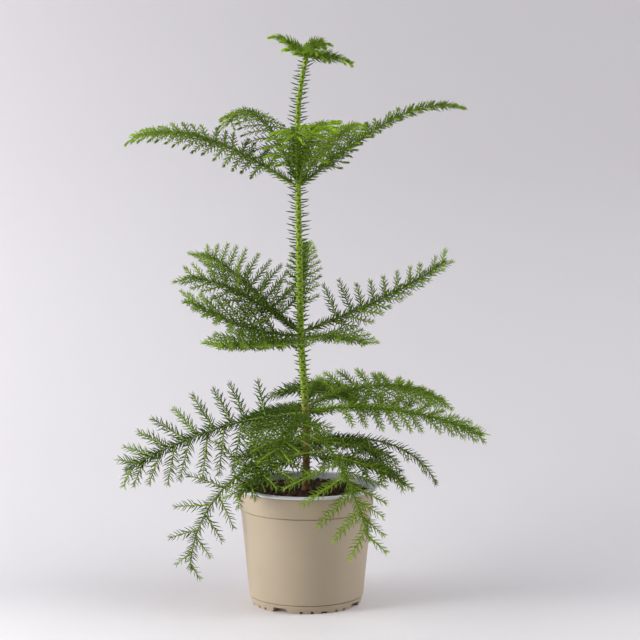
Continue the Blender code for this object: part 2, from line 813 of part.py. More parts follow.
def main():
    """Clears the scene and builds the pot, the soil and the pine."""
    for obj in list(bpy.data.objects):
        bpy.data.objects.remove(obj)
    plastic = plain_material("taupe_plastic", (0.56, 0.45, 0.31), 0.42)
    peat = plain_material("peat", (0.035, 0.018, 0.012), 0.95)
    bark = plain_material("green_bark", (0.16, 0.25, 0.03), 0.6)
    shoot = plain_material("green_shoot", (0.11, 0.21, 0.03), 0.6)
    needles = plain_material("needles", (0.05, 0.13, 0.02), 0.55)

    occupied = Occupied()
    for made in (make_pot(plastic), make_soil(peat), make_trunk(bark)):
        occupied.add_object(made)
    lines = []
    for whorl_name, whorl in WHORLS.items():
        for bough in whorl.boughs:
            line = Line(whorl, bough)
            name = f"{whorl_name}_{bough.name}"
            foot = foot_share("bough_" + name, line, occupied)
            begin = foot
            if whorl_name not in WHORLS_WITH_NO_LIMB:
                begin = BARE_SHARE
                make_limb("bough_" + name, line, foot, begin, occupied, shoot)
            lines.append((name, line, begin))
    for name, line, begin in lines:
        occupied.add("frond_" + name, *points_and_faces(tube(*stem_way(line, begin), STEM_SIDES)))
    for name, line, begin in lines:
        make_frond("frond_" + name, line, begin, occupied, needles)


if __name__ == "__main__":
    main()
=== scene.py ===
"""The looks of a young Norfolk Island pine in its nursery pot.

The stem, its whorls of boughs, their twigs and their needles grow by the same rule as the
solids of the part, carried on to finer twigs. Lengths are in metres and angles in degrees.
"""

from __future__ import annotations

import logging
import math
import random
import zlib
from dataclasses import dataclass, field
from enum import Enum
from typing import Callable, Iterable, Sequence

import bmesh
import bpy
import numpy as np
from mathutils import Matrix, Vector, noise


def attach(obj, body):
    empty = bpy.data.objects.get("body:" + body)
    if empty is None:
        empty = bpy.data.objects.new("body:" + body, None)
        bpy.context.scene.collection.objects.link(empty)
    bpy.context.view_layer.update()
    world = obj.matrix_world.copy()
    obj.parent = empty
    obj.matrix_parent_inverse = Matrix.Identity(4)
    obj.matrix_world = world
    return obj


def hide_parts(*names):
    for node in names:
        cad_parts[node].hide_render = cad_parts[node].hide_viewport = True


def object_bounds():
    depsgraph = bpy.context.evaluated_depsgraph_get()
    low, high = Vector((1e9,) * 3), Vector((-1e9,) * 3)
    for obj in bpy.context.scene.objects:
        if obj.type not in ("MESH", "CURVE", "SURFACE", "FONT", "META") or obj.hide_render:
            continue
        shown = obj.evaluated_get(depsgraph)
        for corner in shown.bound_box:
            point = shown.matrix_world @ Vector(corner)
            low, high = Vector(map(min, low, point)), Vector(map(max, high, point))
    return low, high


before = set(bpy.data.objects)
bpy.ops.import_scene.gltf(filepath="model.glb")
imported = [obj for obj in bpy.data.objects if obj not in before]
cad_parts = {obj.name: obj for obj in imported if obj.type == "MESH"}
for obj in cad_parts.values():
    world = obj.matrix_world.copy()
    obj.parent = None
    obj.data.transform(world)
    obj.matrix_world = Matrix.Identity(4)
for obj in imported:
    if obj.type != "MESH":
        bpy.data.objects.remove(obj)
CAD_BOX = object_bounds()

logging.basicConfig(level=logging.INFO, format="%(message)s")
LOG = logging.getLogger("pine")

BODY = "root"
UP = Vector((0.0, 0.0, 1.0))
GOLDEN_ANGLE = math.radians(137.5)
SAME_PLACE = 1e-6

Colour = tuple[float, float, float]


# ==================================================================== shaders
class Value:
    """A shader socket whose arithmetic adds Math nodes."""

    def __init__(self, shader: "Shader", socket: bpy.types.NodeSocket) -> None:
        """Wraps one output socket of a shader's node tree."""
        self.shader = shader
        self.socket = socket

    def _math(self, operation: str, *terms: "Value | float") -> "Value":
        """The output of one Math node on these terms."""
        inputs = dict(enumerate(terms))
        return self.shader.node("ShaderNodeMath", {"operation": operation}, inputs)

    def __add__(self, other: "Value | float") -> "Value":
        """The sum."""
        return self._math("ADD", self, other)

    def __radd__(self, other: float) -> "Value":
        """The sum, with the number first."""
        return self._math("ADD", other, self)

    def __sub__(self, other: "Value | float") -> "Value":
        """The difference."""
        return self._math("SUBTRACT", self, other)

    def __rsub__(self, other: float) -> "Value":
        """The difference, with the number first."""
        return self._math("SUBTRACT", other, self)

    def __mul__(self, other: "Value | float") -> "Value":
        """The product."""
        return self._math("MULTIPLY", self, other)

    def __rmul__(self, other: float) -> "Value":
        """The product, with the number first."""
        return self._math("MULTIPLY", other, self)

    def between(self, low: float, high: float) -> "Value":
        """0 below `low`, 1 above `high`, and a smooth step from one to the other.

        Args:
            low: where the step begins.
            high: where it ends.

        Returns:
            The stepped value.
        """
        settings = {"interpolation_type": "SMOOTHSTEP", "clamp": True}
        sockets = {"Value": self, "From Min": low, "From Max": high}
        return self.shader.node("ShaderNodeMapRange", settings, sockets)


class Shader:
    """A node material in the making, round one Principled BSDF."""

    def __init__(self, name: str, roughness: float, **constants: float) -> None:
        """Starts a material.

        Args:
            name: the material's name.
            roughness: its plain roughness.
            constants: other Principled sockets, with _ for a space in their names.
        """
        self.material = bpy.data.materials.new(name)
        self.material.use_nodes = True
        self.tree = self.material.node_tree
        self.surface = self.tree.nodes["Principled BSDF"]
        self.surface.inputs["Roughness"].default_value = roughness
        for socket, number in constants.items():
            self.surface.inputs[socket.replace("_", " ")].default_value = number

    def node(
        self,
        kind: str,
        settings: dict | None = None,
        sockets: dict | None = None,
        output: int | str = 0,
    ) -> Value:
        """Adds a node.

        Args:
            kind: the node's type.
            settings: its properties, set first.
            sockets: numbers, colours or Values for its inputs, by name or place.
            output: which output the result wraps.

        Returns:
            The output as a Value.
        """
        made = self.tree.nodes.new(kind)
        for key, setting in (settings or {}).items():
            setattr(made, key, setting)
        for key, given in (sockets or {}).items():
            self.feed(made.inputs[key], given)
        return Value(self, made.outputs[output])

    def feed(self, socket: bpy.types.NodeSocket, given: "Value | float | Colour") -> None:
        """Links a Value to a socket, or sets a plain number or colour on it.

        Args:
            socket: the input socket.
            given: what it gets.
        """
        if isinstance(given, Value):
            self.tree.links.new(given.socket, socket)
        elif isinstance(given, tuple) and socket.type == "RGBA":
            socket.default_value = (*given, 1.0)
        else:
            socket.default_value = given

    def place(self) -> Value:
        """The place on the object, in metres."""
        return self.node("ShaderNodeTexCoord", output="Object")

    def coordinate(self, axis: int) -> Value:
        """One coordinate of the place, with `axis` 0 for X, 1 for Y and 2 for Z."""
        return self.node("ShaderNodeSeparateXYZ", {}, {0: self.place()}, output=axis)

    def roughen(self, pattern: Value, span: float, base: float) -> None:
        """Makes the surface rougher with a pattern in 0 to 1, by `span` from `base`."""
        self.dress("Roughness", pattern * span + base)

    def noise(self, scale: float, detail: float = 3.0, roughness: float = 0.5) -> Value:
        """Noise over the object, about 0 to 1.

        Args:
            scale: how many features there are to a metre.
            detail: how many finer layers are added.
            roughness: how strong they are.

        Returns:
            The noise value.
        """
        sockets = {"Vector": self.place(), "Scale": scale, "Detail": detail, "Roughness": roughness}
        return self.node("ShaderNodeTexNoise", {}, sockets)

    def mix(self, share: Value, first: "Value | Colour", second: "Value | Colour") -> Value:
        """A colour between two others.

        Args:
            share: 0 for the first colour and 1 for the second.
            first: the first colour.
            second: the second colour.

        Returns:
            The mixed colour.
        """
        return self.node(
            "ShaderNodeMix", {"data_type": "RGBA"}, {0: share, 6: first, 7: second}, output=2
        )

    def bump(self, height: Value, depth: float, strength: float = 1.0) -> None:
        """Lets a height in 0 to 1 stand out of the surface.

        Args:
            height: the height value.
            depth: how far it stands out at 1.
            strength: how strongly it shows.
        """
        made = self.node(
            "ShaderNodeBump", {}, {"Height": height, "Distance": depth, "Strength": strength}
        )
        self.feed(self.surface.inputs["Normal"], made)

    def dress(self, socket: str, given: "Value | float | Colour") -> None:
        """Feeds one socket of the surface."""
        self.feed(self.surface.inputs[socket], given)

    def one_sided(self, shown: Value) -> None:
        """Shows the surface's face only, so that it hides nothing from behind.

        Args:
            shown: how much of the face shows.
        """
        front = 1.0 - self.node("ShaderNodeNewGeometry", output="Backfacing")
        face = Value(self, self.surface.outputs["BSDF"])
        clear = self.node("ShaderNodeBsdfTransparent")
        made = self.node("ShaderNodeMixShader", {}, {0: front * shown, 1: clear, 2: face})
        self.feed(self.tree.nodes["Material Output"].inputs["Surface"], made)


@dataclass(frozen=True)
class MouldedPlastic:
    """Matt moulded plastic with a faint grain, scuffed and dusty towards its foot."""

    name: str
    colour: Colour
    dust: Colour
    roughness: float = 0.44
    grain: float = 1400.0
    grain_depth: float = 0.00006
    clouds: float = 18.0
    scuff_height: float = 0.030
    scuff_grain: float = 320.0
    scuff_strength: float = 0.5

    def material(self) -> bpy.types.Material:
        """Makes the finish.

        Returns:
            The finish as a material.
        """
        shader = Shader(self.name, self.roughness, IOR=1.46)
        cloud = shader.noise(self.clouds, 4.0)
        fine = shader.noise(self.grain, 2.0, 0.6)
        height = shader.coordinate(2)
        flecks = shader.noise(self.scuff_grain, 5.0, 0.7).between(0.5, 0.8)
        scuffs = (1.0 - height.between(0.0, self.scuff_height)) * flecks
        tone = shader.mix(cloud.between(0.3, 0.7), self.colour, self.dust)
        shader.dress("Base Color", shader.mix(scuffs * self.scuff_strength, tone, self.dust))
        shader.dress("Roughness", cloud * 0.10 + fine * 0.06 + (self.roughness - 0.08))
        shader.bump(fine, self.grain_depth, 0.5)
        return shader.material


@dataclass(frozen=True)
class PeatMix:
    """Damp potting mix: dark peat with redder fibres and crumbs."""

    name: str
    dark: Colour
    light: Colour
    roughness: float = 0.92
    clump_grain: float = 160.0
    fibre_grain: float = 900.0
    fibre_share: float = 0.4
    relief: float = 0.0012

    def material(self) -> bpy.types.Material:
        """Makes the finish.

        Returns:
            The finish as a material.
        """
        shader = Shader(self.name, self.roughness)
        clumps = shader.noise(self.clump_grain, 6.0, 0.7)
        fibres = shader.noise(self.fibre_grain, 4.0, 0.7)
        mixed = clumps * (1.0 - self.fibre_share) + fibres * self.fibre_share
        shader.dress("Base Color", shader.mix(mixed.between(0.42, 0.62), self.dark, self.light))
        shader.roughen(fibres, 0.2, self.roughness - 0.12)
        shader.bump(mixed, self.relief, 0.9)
        return shader.material


@dataclass(frozen=True)
class GreenBark:
    """Live bark in leaf cushions: bright on the cushions, painted shade between them, brown low
    down.
    """

    name: str
    cushion: Colour
    # groove: painted shade, the dark colour between the cushions.
    groove: Colour
    brown: Colour
    brown_below: float
    green_above: float
    roughness: float = 0.52
    blotch_grain: float = 260.0
    blotch_share: float = 0.55
    ragged: float = 0.05
    skin_grain: float = 1500.0
    skin_relief: float = 0.0002

    def material(self) -> bpy.types.Material:
        """Makes the finish.

        Returns:
            The finish as a material.
        """
        shader = Shader(self.name, self.roughness)
        rise = shader.node("ShaderNodeAttribute", {"attribute_name": "cushion"}, output="Fac")
        height = shader.coordinate(2)
        blotch = shader.noise(self.blotch_grain, 4.0, 0.6)
        # Painted shade: the grooves between the cushions are coloured dark.
        green = shader.mix(rise.between(0.15, 0.75), self.groove, self.cushion)
        # Scattered dark spots in the grooves' colour.
        spots = blotch.between(0.60, 0.74) * self.blotch_share
        green = shader.mix(spots, green, self.groove)
        edge = height + blotch * self.ragged
        woody = 1.0 - edge.between(self.brown_below, self.green_above)
        shader.dress("Base Color", shader.mix(woody, green, self.brown))
        shader.roughen(blotch, 0.2, self.roughness - 0.1)
        shader.bump(shader.noise(self.skin_grain, 3.0), self.skin_relief, 0.5)
        return shader.material


@dataclass(frozen=True)
class YoungTwig:
    """The thin green skin of a twig."""

    name: str
    colour: Colour
    shade: Colour
    roughness: float = 0.5
    streak_grain: float = 420.0

    def material(self) -> bpy.types.Material:
        """Makes the finish.

        Returns:
            The finish as a material.
        """
        shader = Shader(self.name, self.roughness)
        streaks = shader.noise(self.streak_grain, 3.0)
        shader.dress("Base Color", shader.mix(streaks.between(0.35, 0.65), self.colour, self.shade))
        shader.roughen(streaks, 0.16, self.roughness - 0.08)
        return shader.material


@dataclass(frozen=True)
class NeedleSkin:
    """A needle's waxy skin in one plain tint."""

    name: str
    colour: Colour
    roughness: float = 0.50
    gloss: float = 0.22
    wax_grain: float = 500.0

    def material(self) -> bpy.types.Material:
        """Makes the finish.

        Returns:
            The finish as a material.
        """
        shader = Shader(self.name, self.roughness, Specular_IOR_Level=self.gloss)
        shader.dress("Base Color", self.colour)
        shader.roughen(shader.noise(self.wax_grain, 2.0), 0.2, self.roughness - 0.1)
        return shader.material


@dataclass(frozen=True)
class StudioPaper:
    """The pale studio paper, with painted shade: darker in its bend, on its wall and higher up.

    It thins out to nothing far from the middle, so that it has no edge.
    """

    name: str
    floor: Colour
    # bend, wall and high are painted shade: darker tones of the same paper.
    bend: Colour
    wall: Colour
    high: Colour
    roughness: float = 0.7
    fade_start: float = 2.2
    fade_end: float = 3.4

    def material(self) -> bpy.types.Material:
        """Makes the finish.

        Returns:
            The finish as a material.
        """
        shader = Shader(self.name, self.roughness)
        depth = shader.coordinate(1)
        height = shader.coordinate(2)
        # Painted shade: the bend, the wall and the paper higher up get darker tones than the floor.
        tone = shader.mix(depth.between(-0.12, 0.10), self.floor, self.bend)
        tone = shader.mix(height.between(0.02, 0.12), tone, self.wall)
        shader.dress("Base Color", shader.mix(height.between(0.25, 0.85), tone, self.high))
        math_node, level = "ShaderNodeVectorMath", (1.0, 1.0, 0.0)
        flat = shader.node(math_node, {"operation": "MULTIPLY"}, {0: shader.place(), 1: level})
        reach = shader.node(math_node, {"operation": "LENGTH"}, {0: flat}, output="Value")
        shader.one_sided(1.0 - reach.between(self.fade_start, self.fade_end))
        return shader.material


class Tone(Enum):
    """The needles' tints, from the oldest growth to this year's; through a bough's `pale` they also
    carry painted light and shade.
    """

    SHADE = ("shade", (0.066, 0.124, 0.009))
    DEEP = ("deep", (0.112, 0.192, 0.011))
    LEAF = ("leaf", (0.190, 0.305, 0.017))
    FRESH = ("fresh", (0.255, 0.412, 0.020))
    BRIGHT = ("bright", (0.336, 0.545, 0.024))
    TIP = ("tip", (0.415, 0.655, 0.028))

    @property
    def label(self) -> str:
        """The tint's plain name."""
        return self.value[0]

    @property
    def colour(self) -> Colour:
        """The tint's colour."""
        return self.value[1]


# ===================================================================== meshes
def add(name: str, data: bpy.types.ID) -> bpy.types.Object:
    """Adds an object with this data to the scene, at the origin."""
    made = bpy.data.objects.new(name, data)
    bpy.context.scene.collection.objects.link(made)
    return made


def show(name: str, mesh: bpy.types.Mesh, material: bpy.types.Material) -> bpy.types.Object:
    """Puts a finished mesh in the scene as an object at the origin.

    Args:
        name: the object's name.
        mesh: its mesh, already in place.
        material: its finish, added after those that the mesh has.

    Returns:
        The object.
    """
    mesh.materials.append(material)
    return add(name, mesh)


def turned(section: Sequence[tuple[float, float]], segments: int) -> bmesh.types.BMesh:
    """Turns a section into a closed solid.

    Args:
        section: its points, as radius and height, from axis to axis.
        segments: how many steps there are round it.

    Returns:
        The solid as a bmesh.
    """
    made = bmesh.new()
    verts = [made.verts.new((r, 0.0, z)) for r, z in section]
    edges = [made.edges.new(pair) for pair in zip(verts, verts[1:])]
    bmesh.ops.spin(
        made, geom=[*verts, *edges], cent=(0, 0, 0), axis=(0, 0, 1),
        angle=math.tau, steps=segments, use_merge=True,
    )
    bmesh.ops.remove_doubles(made, verts=made.verts, dist=SAME_PLACE)
    bmesh.ops.recalc_face_normals(made, faces=made.faces)
    return made


def evaluated(thing: bpy.types.Object) -> bpy.types.Mesh:
    """An object's mesh with its modifiers or its bevel in it."""
    bpy.context.view_layer.update()
    graph = bpy.context.evaluated_depsgraph_get()
    return bpy.data.meshes.new_from_object(thing.evaluated_get(graph))


def rotated(
    first: np.ndarray, second: np.ndarray, turn: np.ndarray
) -> tuple[np.ndarray, np.ndarray]:
    """Turns shapes in one plane.

    Args:
        first: one coordinate of the shapes' points, as shapes by points.
        second: the other.
        turn: each shape's angle, from the first coordinate towards the second.

    Returns:
        Both coordinates after the turn.
    """
    cosine, sine = np.cos(turn)[:, None], np.sin(turn)[:, None]
    return first * cosine - second * sine, first * sine + second * cosine


def mesh_of(made: bmesh.types.BMesh, name: str, sharp_deg: float | None = None) -> bpy.types.Mesh:
    """Turns a bmesh into a smooth-shaded mesh and frees it.

    Args:
        made: the bmesh.
        name: the mesh's name.
        sharp_deg: the angle past which an edge stays sharp, or None for no such edges.

    Returns:
        The mesh.
    """
    mesh = bpy.data.meshes.new(name)
    made.to_mesh(mesh)
    made.free()
    mesh.shade_smooth()
    if sharp_deg is not None:
        mesh.set_sharp_from_angle(angle=math.radians(sharp_deg))
    return mesh


def own(piece: bpy.types.Object, nodes: Iterable[str]) -> bpy.types.Object:
    """Ties a piece to the frame: its body and the solids that it stands for."""
    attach(piece, BODY)
    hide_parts(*nodes)
    return piece


@dataclass
class JoinedCopies:
    """Many small copies of one prototype, joined into one mesh from arrays."""

    points: np.ndarray
    faces: list[tuple[int, ...]]
    batches: list[np.ndarray] = field(default_factory=list)

    @classmethod
    def of(cls, made: bmesh.types.BMesh) -> "JoinedCopies":
        """Starts from a prototype.

        Args:
            made: the prototype's bmesh, which is then freed.

        Returns:
            The set of copies, still empty.
        """
        made.verts.index_update()
        points = np.array([v.co for v in made.verts])
        faces = [tuple(v.index for v in f.verts) for f in made.faces]
        made.free()
        return cls(points, faces)

    def add(self, placed: np.ndarray) -> None:
        """Adds copies whose points are already placed, as an array of copies by points by 3."""
        if len(placed):
            self.batches.append(placed)

    @property
    def triangles(self) -> int:
        """How many triangles the joined mesh has."""
        each = sum(len(f) - 2 for f in self.faces)
        return each * sum(len(b) for b in self.batches)

    def mesh(self, name: str) -> bpy.types.Mesh:
        """Joins the copies.

        Args:
            name: the mesh's name.

        Returns:
            The joined mesh, shaded smooth.
        """
        placed = np.concatenate(self.batches)
        copies, size = placed.shape[:2]
        corners = np.array([c for f in self.faces for c in f])
        sizes = np.array([len(f) for f in self.faces])
        loops = (corners[None, :] + (np.arange(copies) * size)[:, None]).ravel()
        totals = np.tile(sizes, copies)
        starts = np.concatenate([[0], np.cumsum(totals)[:-1]])
        mesh = bpy.data.meshes.new(name)
        mesh.vertices.add(copies * size)
        mesh.vertices.foreach_set("co", placed.astype(np.float32).ravel())
        mesh.loops.add(len(loops))
        mesh.loops.foreach_set("vertex_index", loops.astype(np.int32))
        mesh.polygons.add(len(totals))
        mesh.polygons.foreach_set("loop_start", starts.astype(np.int32))
        mesh.update(calc_edges=True)
        mesh.shade_smooth()
        return mesh


@dataclass(frozen=True)
class Cushions:
    """The spiral of leaf cushions round a limb, one to each needle.

    The cushions stand `pitch` apart along the limb and a golden angle apart round it. Seen
    flat they form a lattice, whose rows of every second and every third one make the
    diamonds of the relief.
    """

    pitch: float
    depth: float

    def height(self, turn: float, along: float) -> float:
        """How high the relief stands at a place, from 0 in the grooves to 1 on a cushion.

        Args:
            turn: the angle round the limb, in radians.
            along: the distance along it.

        Returns:
            The height.
        """
        second, third = 2 * GOLDEN_ANGLE - math.tau, 3 * GOLDEN_ANGLE - math.tau
        scale = self.pitch * (second * 3 - third * 2)
        a = (turn * 3 * self.pitch - third * along) / scale
        b = (second * along - turn * 2 * self.pitch) / scale
        return (math.cos(math.tau * a) + math.cos(math.tau * b)) / 4 + 0.5


def sweep_limb(
    made: bmesh.types.BMesh,
    centres: Sequence[Vector],
    radii: Sequence[float],
    sides: int,
    cushions: Cushions,
    level: bool = False,
) -> None:
    """Grows a closed limb along a centre line, ring by ring, with its cushions standing out.

    Args:
        made: the bmesh that it is added to, which has a float layer named cushion.
        centres: the centre line.
        radii: the radius at each of its points.
        sides: how many sides the limb has.
        cushions: the relief.
        level: whether every ring lies level, as on an upright stem.
    """
    layer = made.verts.layers.float["cushion"]
    ring = bmesh.ops.create_circle(made, cap_ends=False, segments=sides, radius=1.0)["verts"]
    edges = list({e for v in ring for e in v.link_edges})
    made.faces.new(ring[::-1])
    across: Vector | None = None
    along = 0.0
    for i, (centre, radius) in enumerate(zip(centres, radii)):
        if i:
            along += (centre - centres[i - 1]).length
            grown = bmesh.ops.extrude_edge_only(made, edges=edges)["geom"]
            edges = [g for g in grown if isinstance(g, bmesh.types.BMEdge)]
            lifted = {g for g in grown if isinstance(g, bmesh.types.BMVert)}
            ring = [
                next(e.other_vert(v) for e in v.link_edges if e.other_vert(v) in lifted)
                for v in ring
            ]
            edges = [e for e in edges if e.verts[0] in lifted and e.verts[1] in lifted]
        before, after = centres[max(i - 1, 0)], centres[min(i + 1, len(centres) - 1)]
        way = UP.copy() if level else (after - before).normalized()
        if across is None:
            across = Vector((1.0, 0.0, 0.0)) if level else way.orthogonal()
        across = (across - way * across.dot(way)).normalized()
        other = way.cross(across)
        for k, vert in enumerate(ring):
            turn = math.tau * k / sides
            rise = cushions.height(turn, along)
            reach = radius + cushions.depth * (rise - 0.5)
            vert.co = centre + across * (reach * math.cos(turn)) + other * (reach * math.sin(turn))
            vert[layer] = rise
    made.faces.new(ring)


# ================================================================ growth rule
@dataclass(frozen=True)
class Bough:
    """One bough: where it points, how long it is and how it bends.

    `heading` is seen from above, 0 along +X and 90 along +Y; it turns by `sweep` from foot
    to tip. The pitch above the level changes from `rise` at the foot to `tip_rise`, slowly
    at first where `bend` is large. `spread` is the longest twig, and `right` is how long the
    twigs to the right of growth are beside those to the left. `roll` tips the frond's plane
    about the bough, `cup` lifts both sides, and the twigs fall by `droop`. `taper` is how late
    the twigs shorten towards the tip, and `step` how far above the whorl the bough leaves the
    trunk. `fresh` makes its young shoots brighter and longer than the whorl's, and `sparse`
    sets its twigs and needles further apart and makes the needles shorter. `pale` shifts all
    its tints, partly for fresher growth and partly as painted light: lighter where a bough
    stands in more light, darker where it stands in shade. `short` is how long its needles
    are beside the whorl's.
    """

    name: str
    heading: float
    length: float
    rise: float
    tip_rise: float
    spread: float
    sweep: float = 0.0
    bend: float = 1.5
    roll: float = 0.0
    cup: float = 0.0
    droop: float = 20.0
    right: float = 1.0
    taper: float = 1.5
    step: float = 0.0
    fresh: float = 0.0
    sparse: float = 1.0
    # pale: partly painted light and shade, shifting all the bough's tints.
    pale: float = 0.0
    short: float = 1.0


@dataclass(frozen=True)
class Whorl:
    """A ring of boughs that leave the trunk at one height.

    `needle` is the length of its needles, `pitch` the distance along a twig from one to the
    next, `spacing` the distance between its pairs of twigs, `youth` how fresh its tints are,
    from 0 to 1, and `shoot` how long the closed young shoots at its tips are. `girth` is how
    wide a needle is for its length.
    """

    height: float
    needle: float
    girth: float
    pitch: float
    spacing: float
    youth: float
    shoot: float
    boughs: tuple[Bough, ...]


# A bough's `pale` is partly painted light: it lightens the tints of the lower right boughs, which
# stand in more light, and darkens those of some left and back-left boughs, which stand in shade.
WHORLS: dict[str, Whorl] = {
    "crown": Whorl(height=0.6410, needle=0.0118, girth=0.130, pitch=0.00066, spacing=0.0220,
                   youth=0.90, shoot=0.0060, boughs=(
        Bough("left", 169, 0.050, 43, -13, 0.017, sweep=-13, bend=3.0, step=0.0015),
        Bough("right", 5, 0.052, 2, -24, 0.018, bend=1.8, droop=34, step=0.003),
        Bough("back_right", 63, 0.056, 48, -43, 0.017, step=0.0025),
        Bough("back_left", 123, 0.042, 34, -29, 0.016, bend=2.2, step=0.001),
        Bough("front", 283, 0.036, 50, -34, 0.015, bend=1.3, step=-0.001),
    )),
    "upper": Whorl(height=0.4930, needle=0.0098, girth=0.142, pitch=0.00120, spacing=0.0130,
                   youth=0.46, shoot=0.0085, boughs=(
        Bough(
            "left", 179, 0.207, 32, -17, 0.046, sweep=-10, bend=2.2, roll=-24, cup=14,
            droop=28, fresh=-0.4, sparse=0.86, short=0.90,
        ),
        Bough(
            "right", 4, 0.222, 38, -14, 0.038, sweep=9, bend=3.0, roll=12, cup=12, droop=20,
            right=0.65, fresh=-0.4,
        ),
        Bough(
            "back_left", 122, 0.202, 49, -45, 0.041, bend=2.3, droop=30, step=0.003,
            fresh=-0.45, pale=-0.12, short=0.85,
        ),
        Bough("back_right", 60, 0.190, 46, 4, 0.042, sweep=9, bend=0.8, droop=14, step=-0.002),
        Bough(
            "front_right", 288, 0.176, 68, -16, 0.040, sweep=-8, bend=1.1, roll=8, cup=18,
            droop=28, step=-0.006, fresh=0.7,
        ),
        Bough(
            "front_left", 266, 0.150, 55, -26, 0.038, sweep=6, bend=1.7, cup=12, droop=32,
            step=0.002, fresh=0.6,
        ),
    )),
    "middle": Whorl(height=0.3190, needle=0.0090, girth=0.142, pitch=0.00096, spacing=0.0142,
                    youth=0.38, shoot=0.0, boughs=(
        Bough("left", 174, 0.153, 34, 0, 0.054, bend=2.5, roll=-30, cup=4, droop=-4, step=0.004),
        Bough(
            "right", 24, 0.206, 18, 32, 0.054, bend=2.3, roll=26, cup=14, droop=-8, taper=0.35,
            step=0.002, sparse=1.16, pale=0.02, short=1.22,
        ),
        Bough(
            "back_left", 144, 0.190, 33, 2, 0.052, sweep=-14, bend=4.0, roll=-16, cup=14,
            droop=-8,
        ),
        Bough("back_right", 88, 0.180, 62, 10, 0.024, bend=0.7, cup=16, droop=-16, step=0.005),
        Bough(
            "front_left", 208, 0.152, 3, 30, 0.060, bend=0.8, roll=-24, cup=6, droop=0,
            step=-0.001, fresh=0.12,
        ),
        Bough("front", 233, 0.142, -1, 6, 0.062, sweep=-8, roll=-4, cup=8, droop=0, step=-0.005),
        Bough(
            "front_right", 318, 0.102, 12, -7, 0.040, bend=0.8, roll=6, cup=6, droop=0,
            step=-0.004,
        ),
    )),
    "lower": Whorl(height=0.2260, needle=0.0124, girth=0.120, pitch=0.00104, spacing=0.0192,
                   youth=0.20, shoot=0.0, boughs=(
        Bough(
            "left", 164, 0.232, -3, -31, 0.064, sweep=18, bend=0.8, roll=-56, droop=6,
            taper=2.2, sparse=1.12, pale=-0.04, short=1.06,
        ),
        Bough(
            "right", 4, 0.214, 10, -24, 0.056, sweep=-4, bend=0.9, roll=16, cup=4, droop=12,
            step=0.002, fresh=0.35, sparse=0.84, pale=0.38, short=0.76,
        ),
        Bough(
            "back_right", 40, 0.216, 21, -26, 0.064, sweep=-6, bend=1.0, roll=18, droop=10,
            step=0.006, fresh=0.35, sparse=0.84, pale=0.34, short=0.76,
        ),
        Bough("back", 84, 0.190, 22, -27, 0.060, sweep=-12, bend=0.8, droop=26, step=0.010),
        Bough("back_left", 110, 0.168, -4, -34, 0.056, droop=14, step=0.003),
        Bough("front_left", 258, 0.142, 4, -28, 0.046, droop=18, right=1.4, step=-0.004),
        Bough(
            "front_right", 298, 0.198, -18, -56, 0.072, bend=1.0, roll=-8, droop=6, right=1.7,
            taper=0.8, step=-0.006, fresh=0.3, sparse=1.22, pale=0.42,
        ),
    )),
    "lowest": Whorl(height=0.1840, needle=0.0124, girth=0.120, pitch=0.00112, spacing=0.0222,
                    youth=0.18, shoot=0.0, boughs=(
        Bough(
            "left", 196, 0.217, -4, -89, 0.053, bend=1.1, roll=-72, droop=6, step=0.001,
            sparse=1.3,
        ),
        Bough(
            "right", 352, 0.172, 8, -66, 0.026, bend=2.0, droop=34, step=0.008, fresh=0.2,
            sparse=1.5,
        ),
        Bough("front_right", 336, 0.128, -4, -40, 0.044, sweep=8, bend=3.0, step=-0.007),
        Bough("back_right", 48, 0.165, 8, -62, 0.060, droop=22, step=0.001),
        Bough("back_left", 118, 0.160, 6, -62, 0.058, droop=22, step=-0.004),
        Bough("front_left", 229, 0.125, -8, -30, 0.052, droop=14, step=-0.005),
    )),
}


def along(way: Sequence[Vector], share: float) -> Vector:
    """A point of the smooth curve through some places.

    Args:
        way: the places.
        share: 0 at the first of them and 1 at the last.

    Returns:
        The point.
    """
    spans = len(way) - 1
    place = min(max(share, 0.0), 1.0) * spans
    i = min(int(place), spans - 1)
    u = place - i
    b, c = way[i], way[i + 1]
    a = way[i - 1] if i > 0 else b * 2 - c
    d = way[i + 2] if i + 2 < len(way) else c * 2 - b
    return 0.5 * (
        b * 2
        + (c - a) * u
        + (a * 2 - b * 5 + c * 4 - d) * u * u
        + (b * 3 - a - c * 3 + d) * u * u * u
    )


def direction(heading: float, pitch: float) -> Vector:
    """The unit vector at a heading and a pitch."""
    h, p = math.radians(heading), math.radians(pitch)
    return Vector((math.cos(h) * math.cos(p), math.sin(h) * math.cos(p), math.sin(p)))


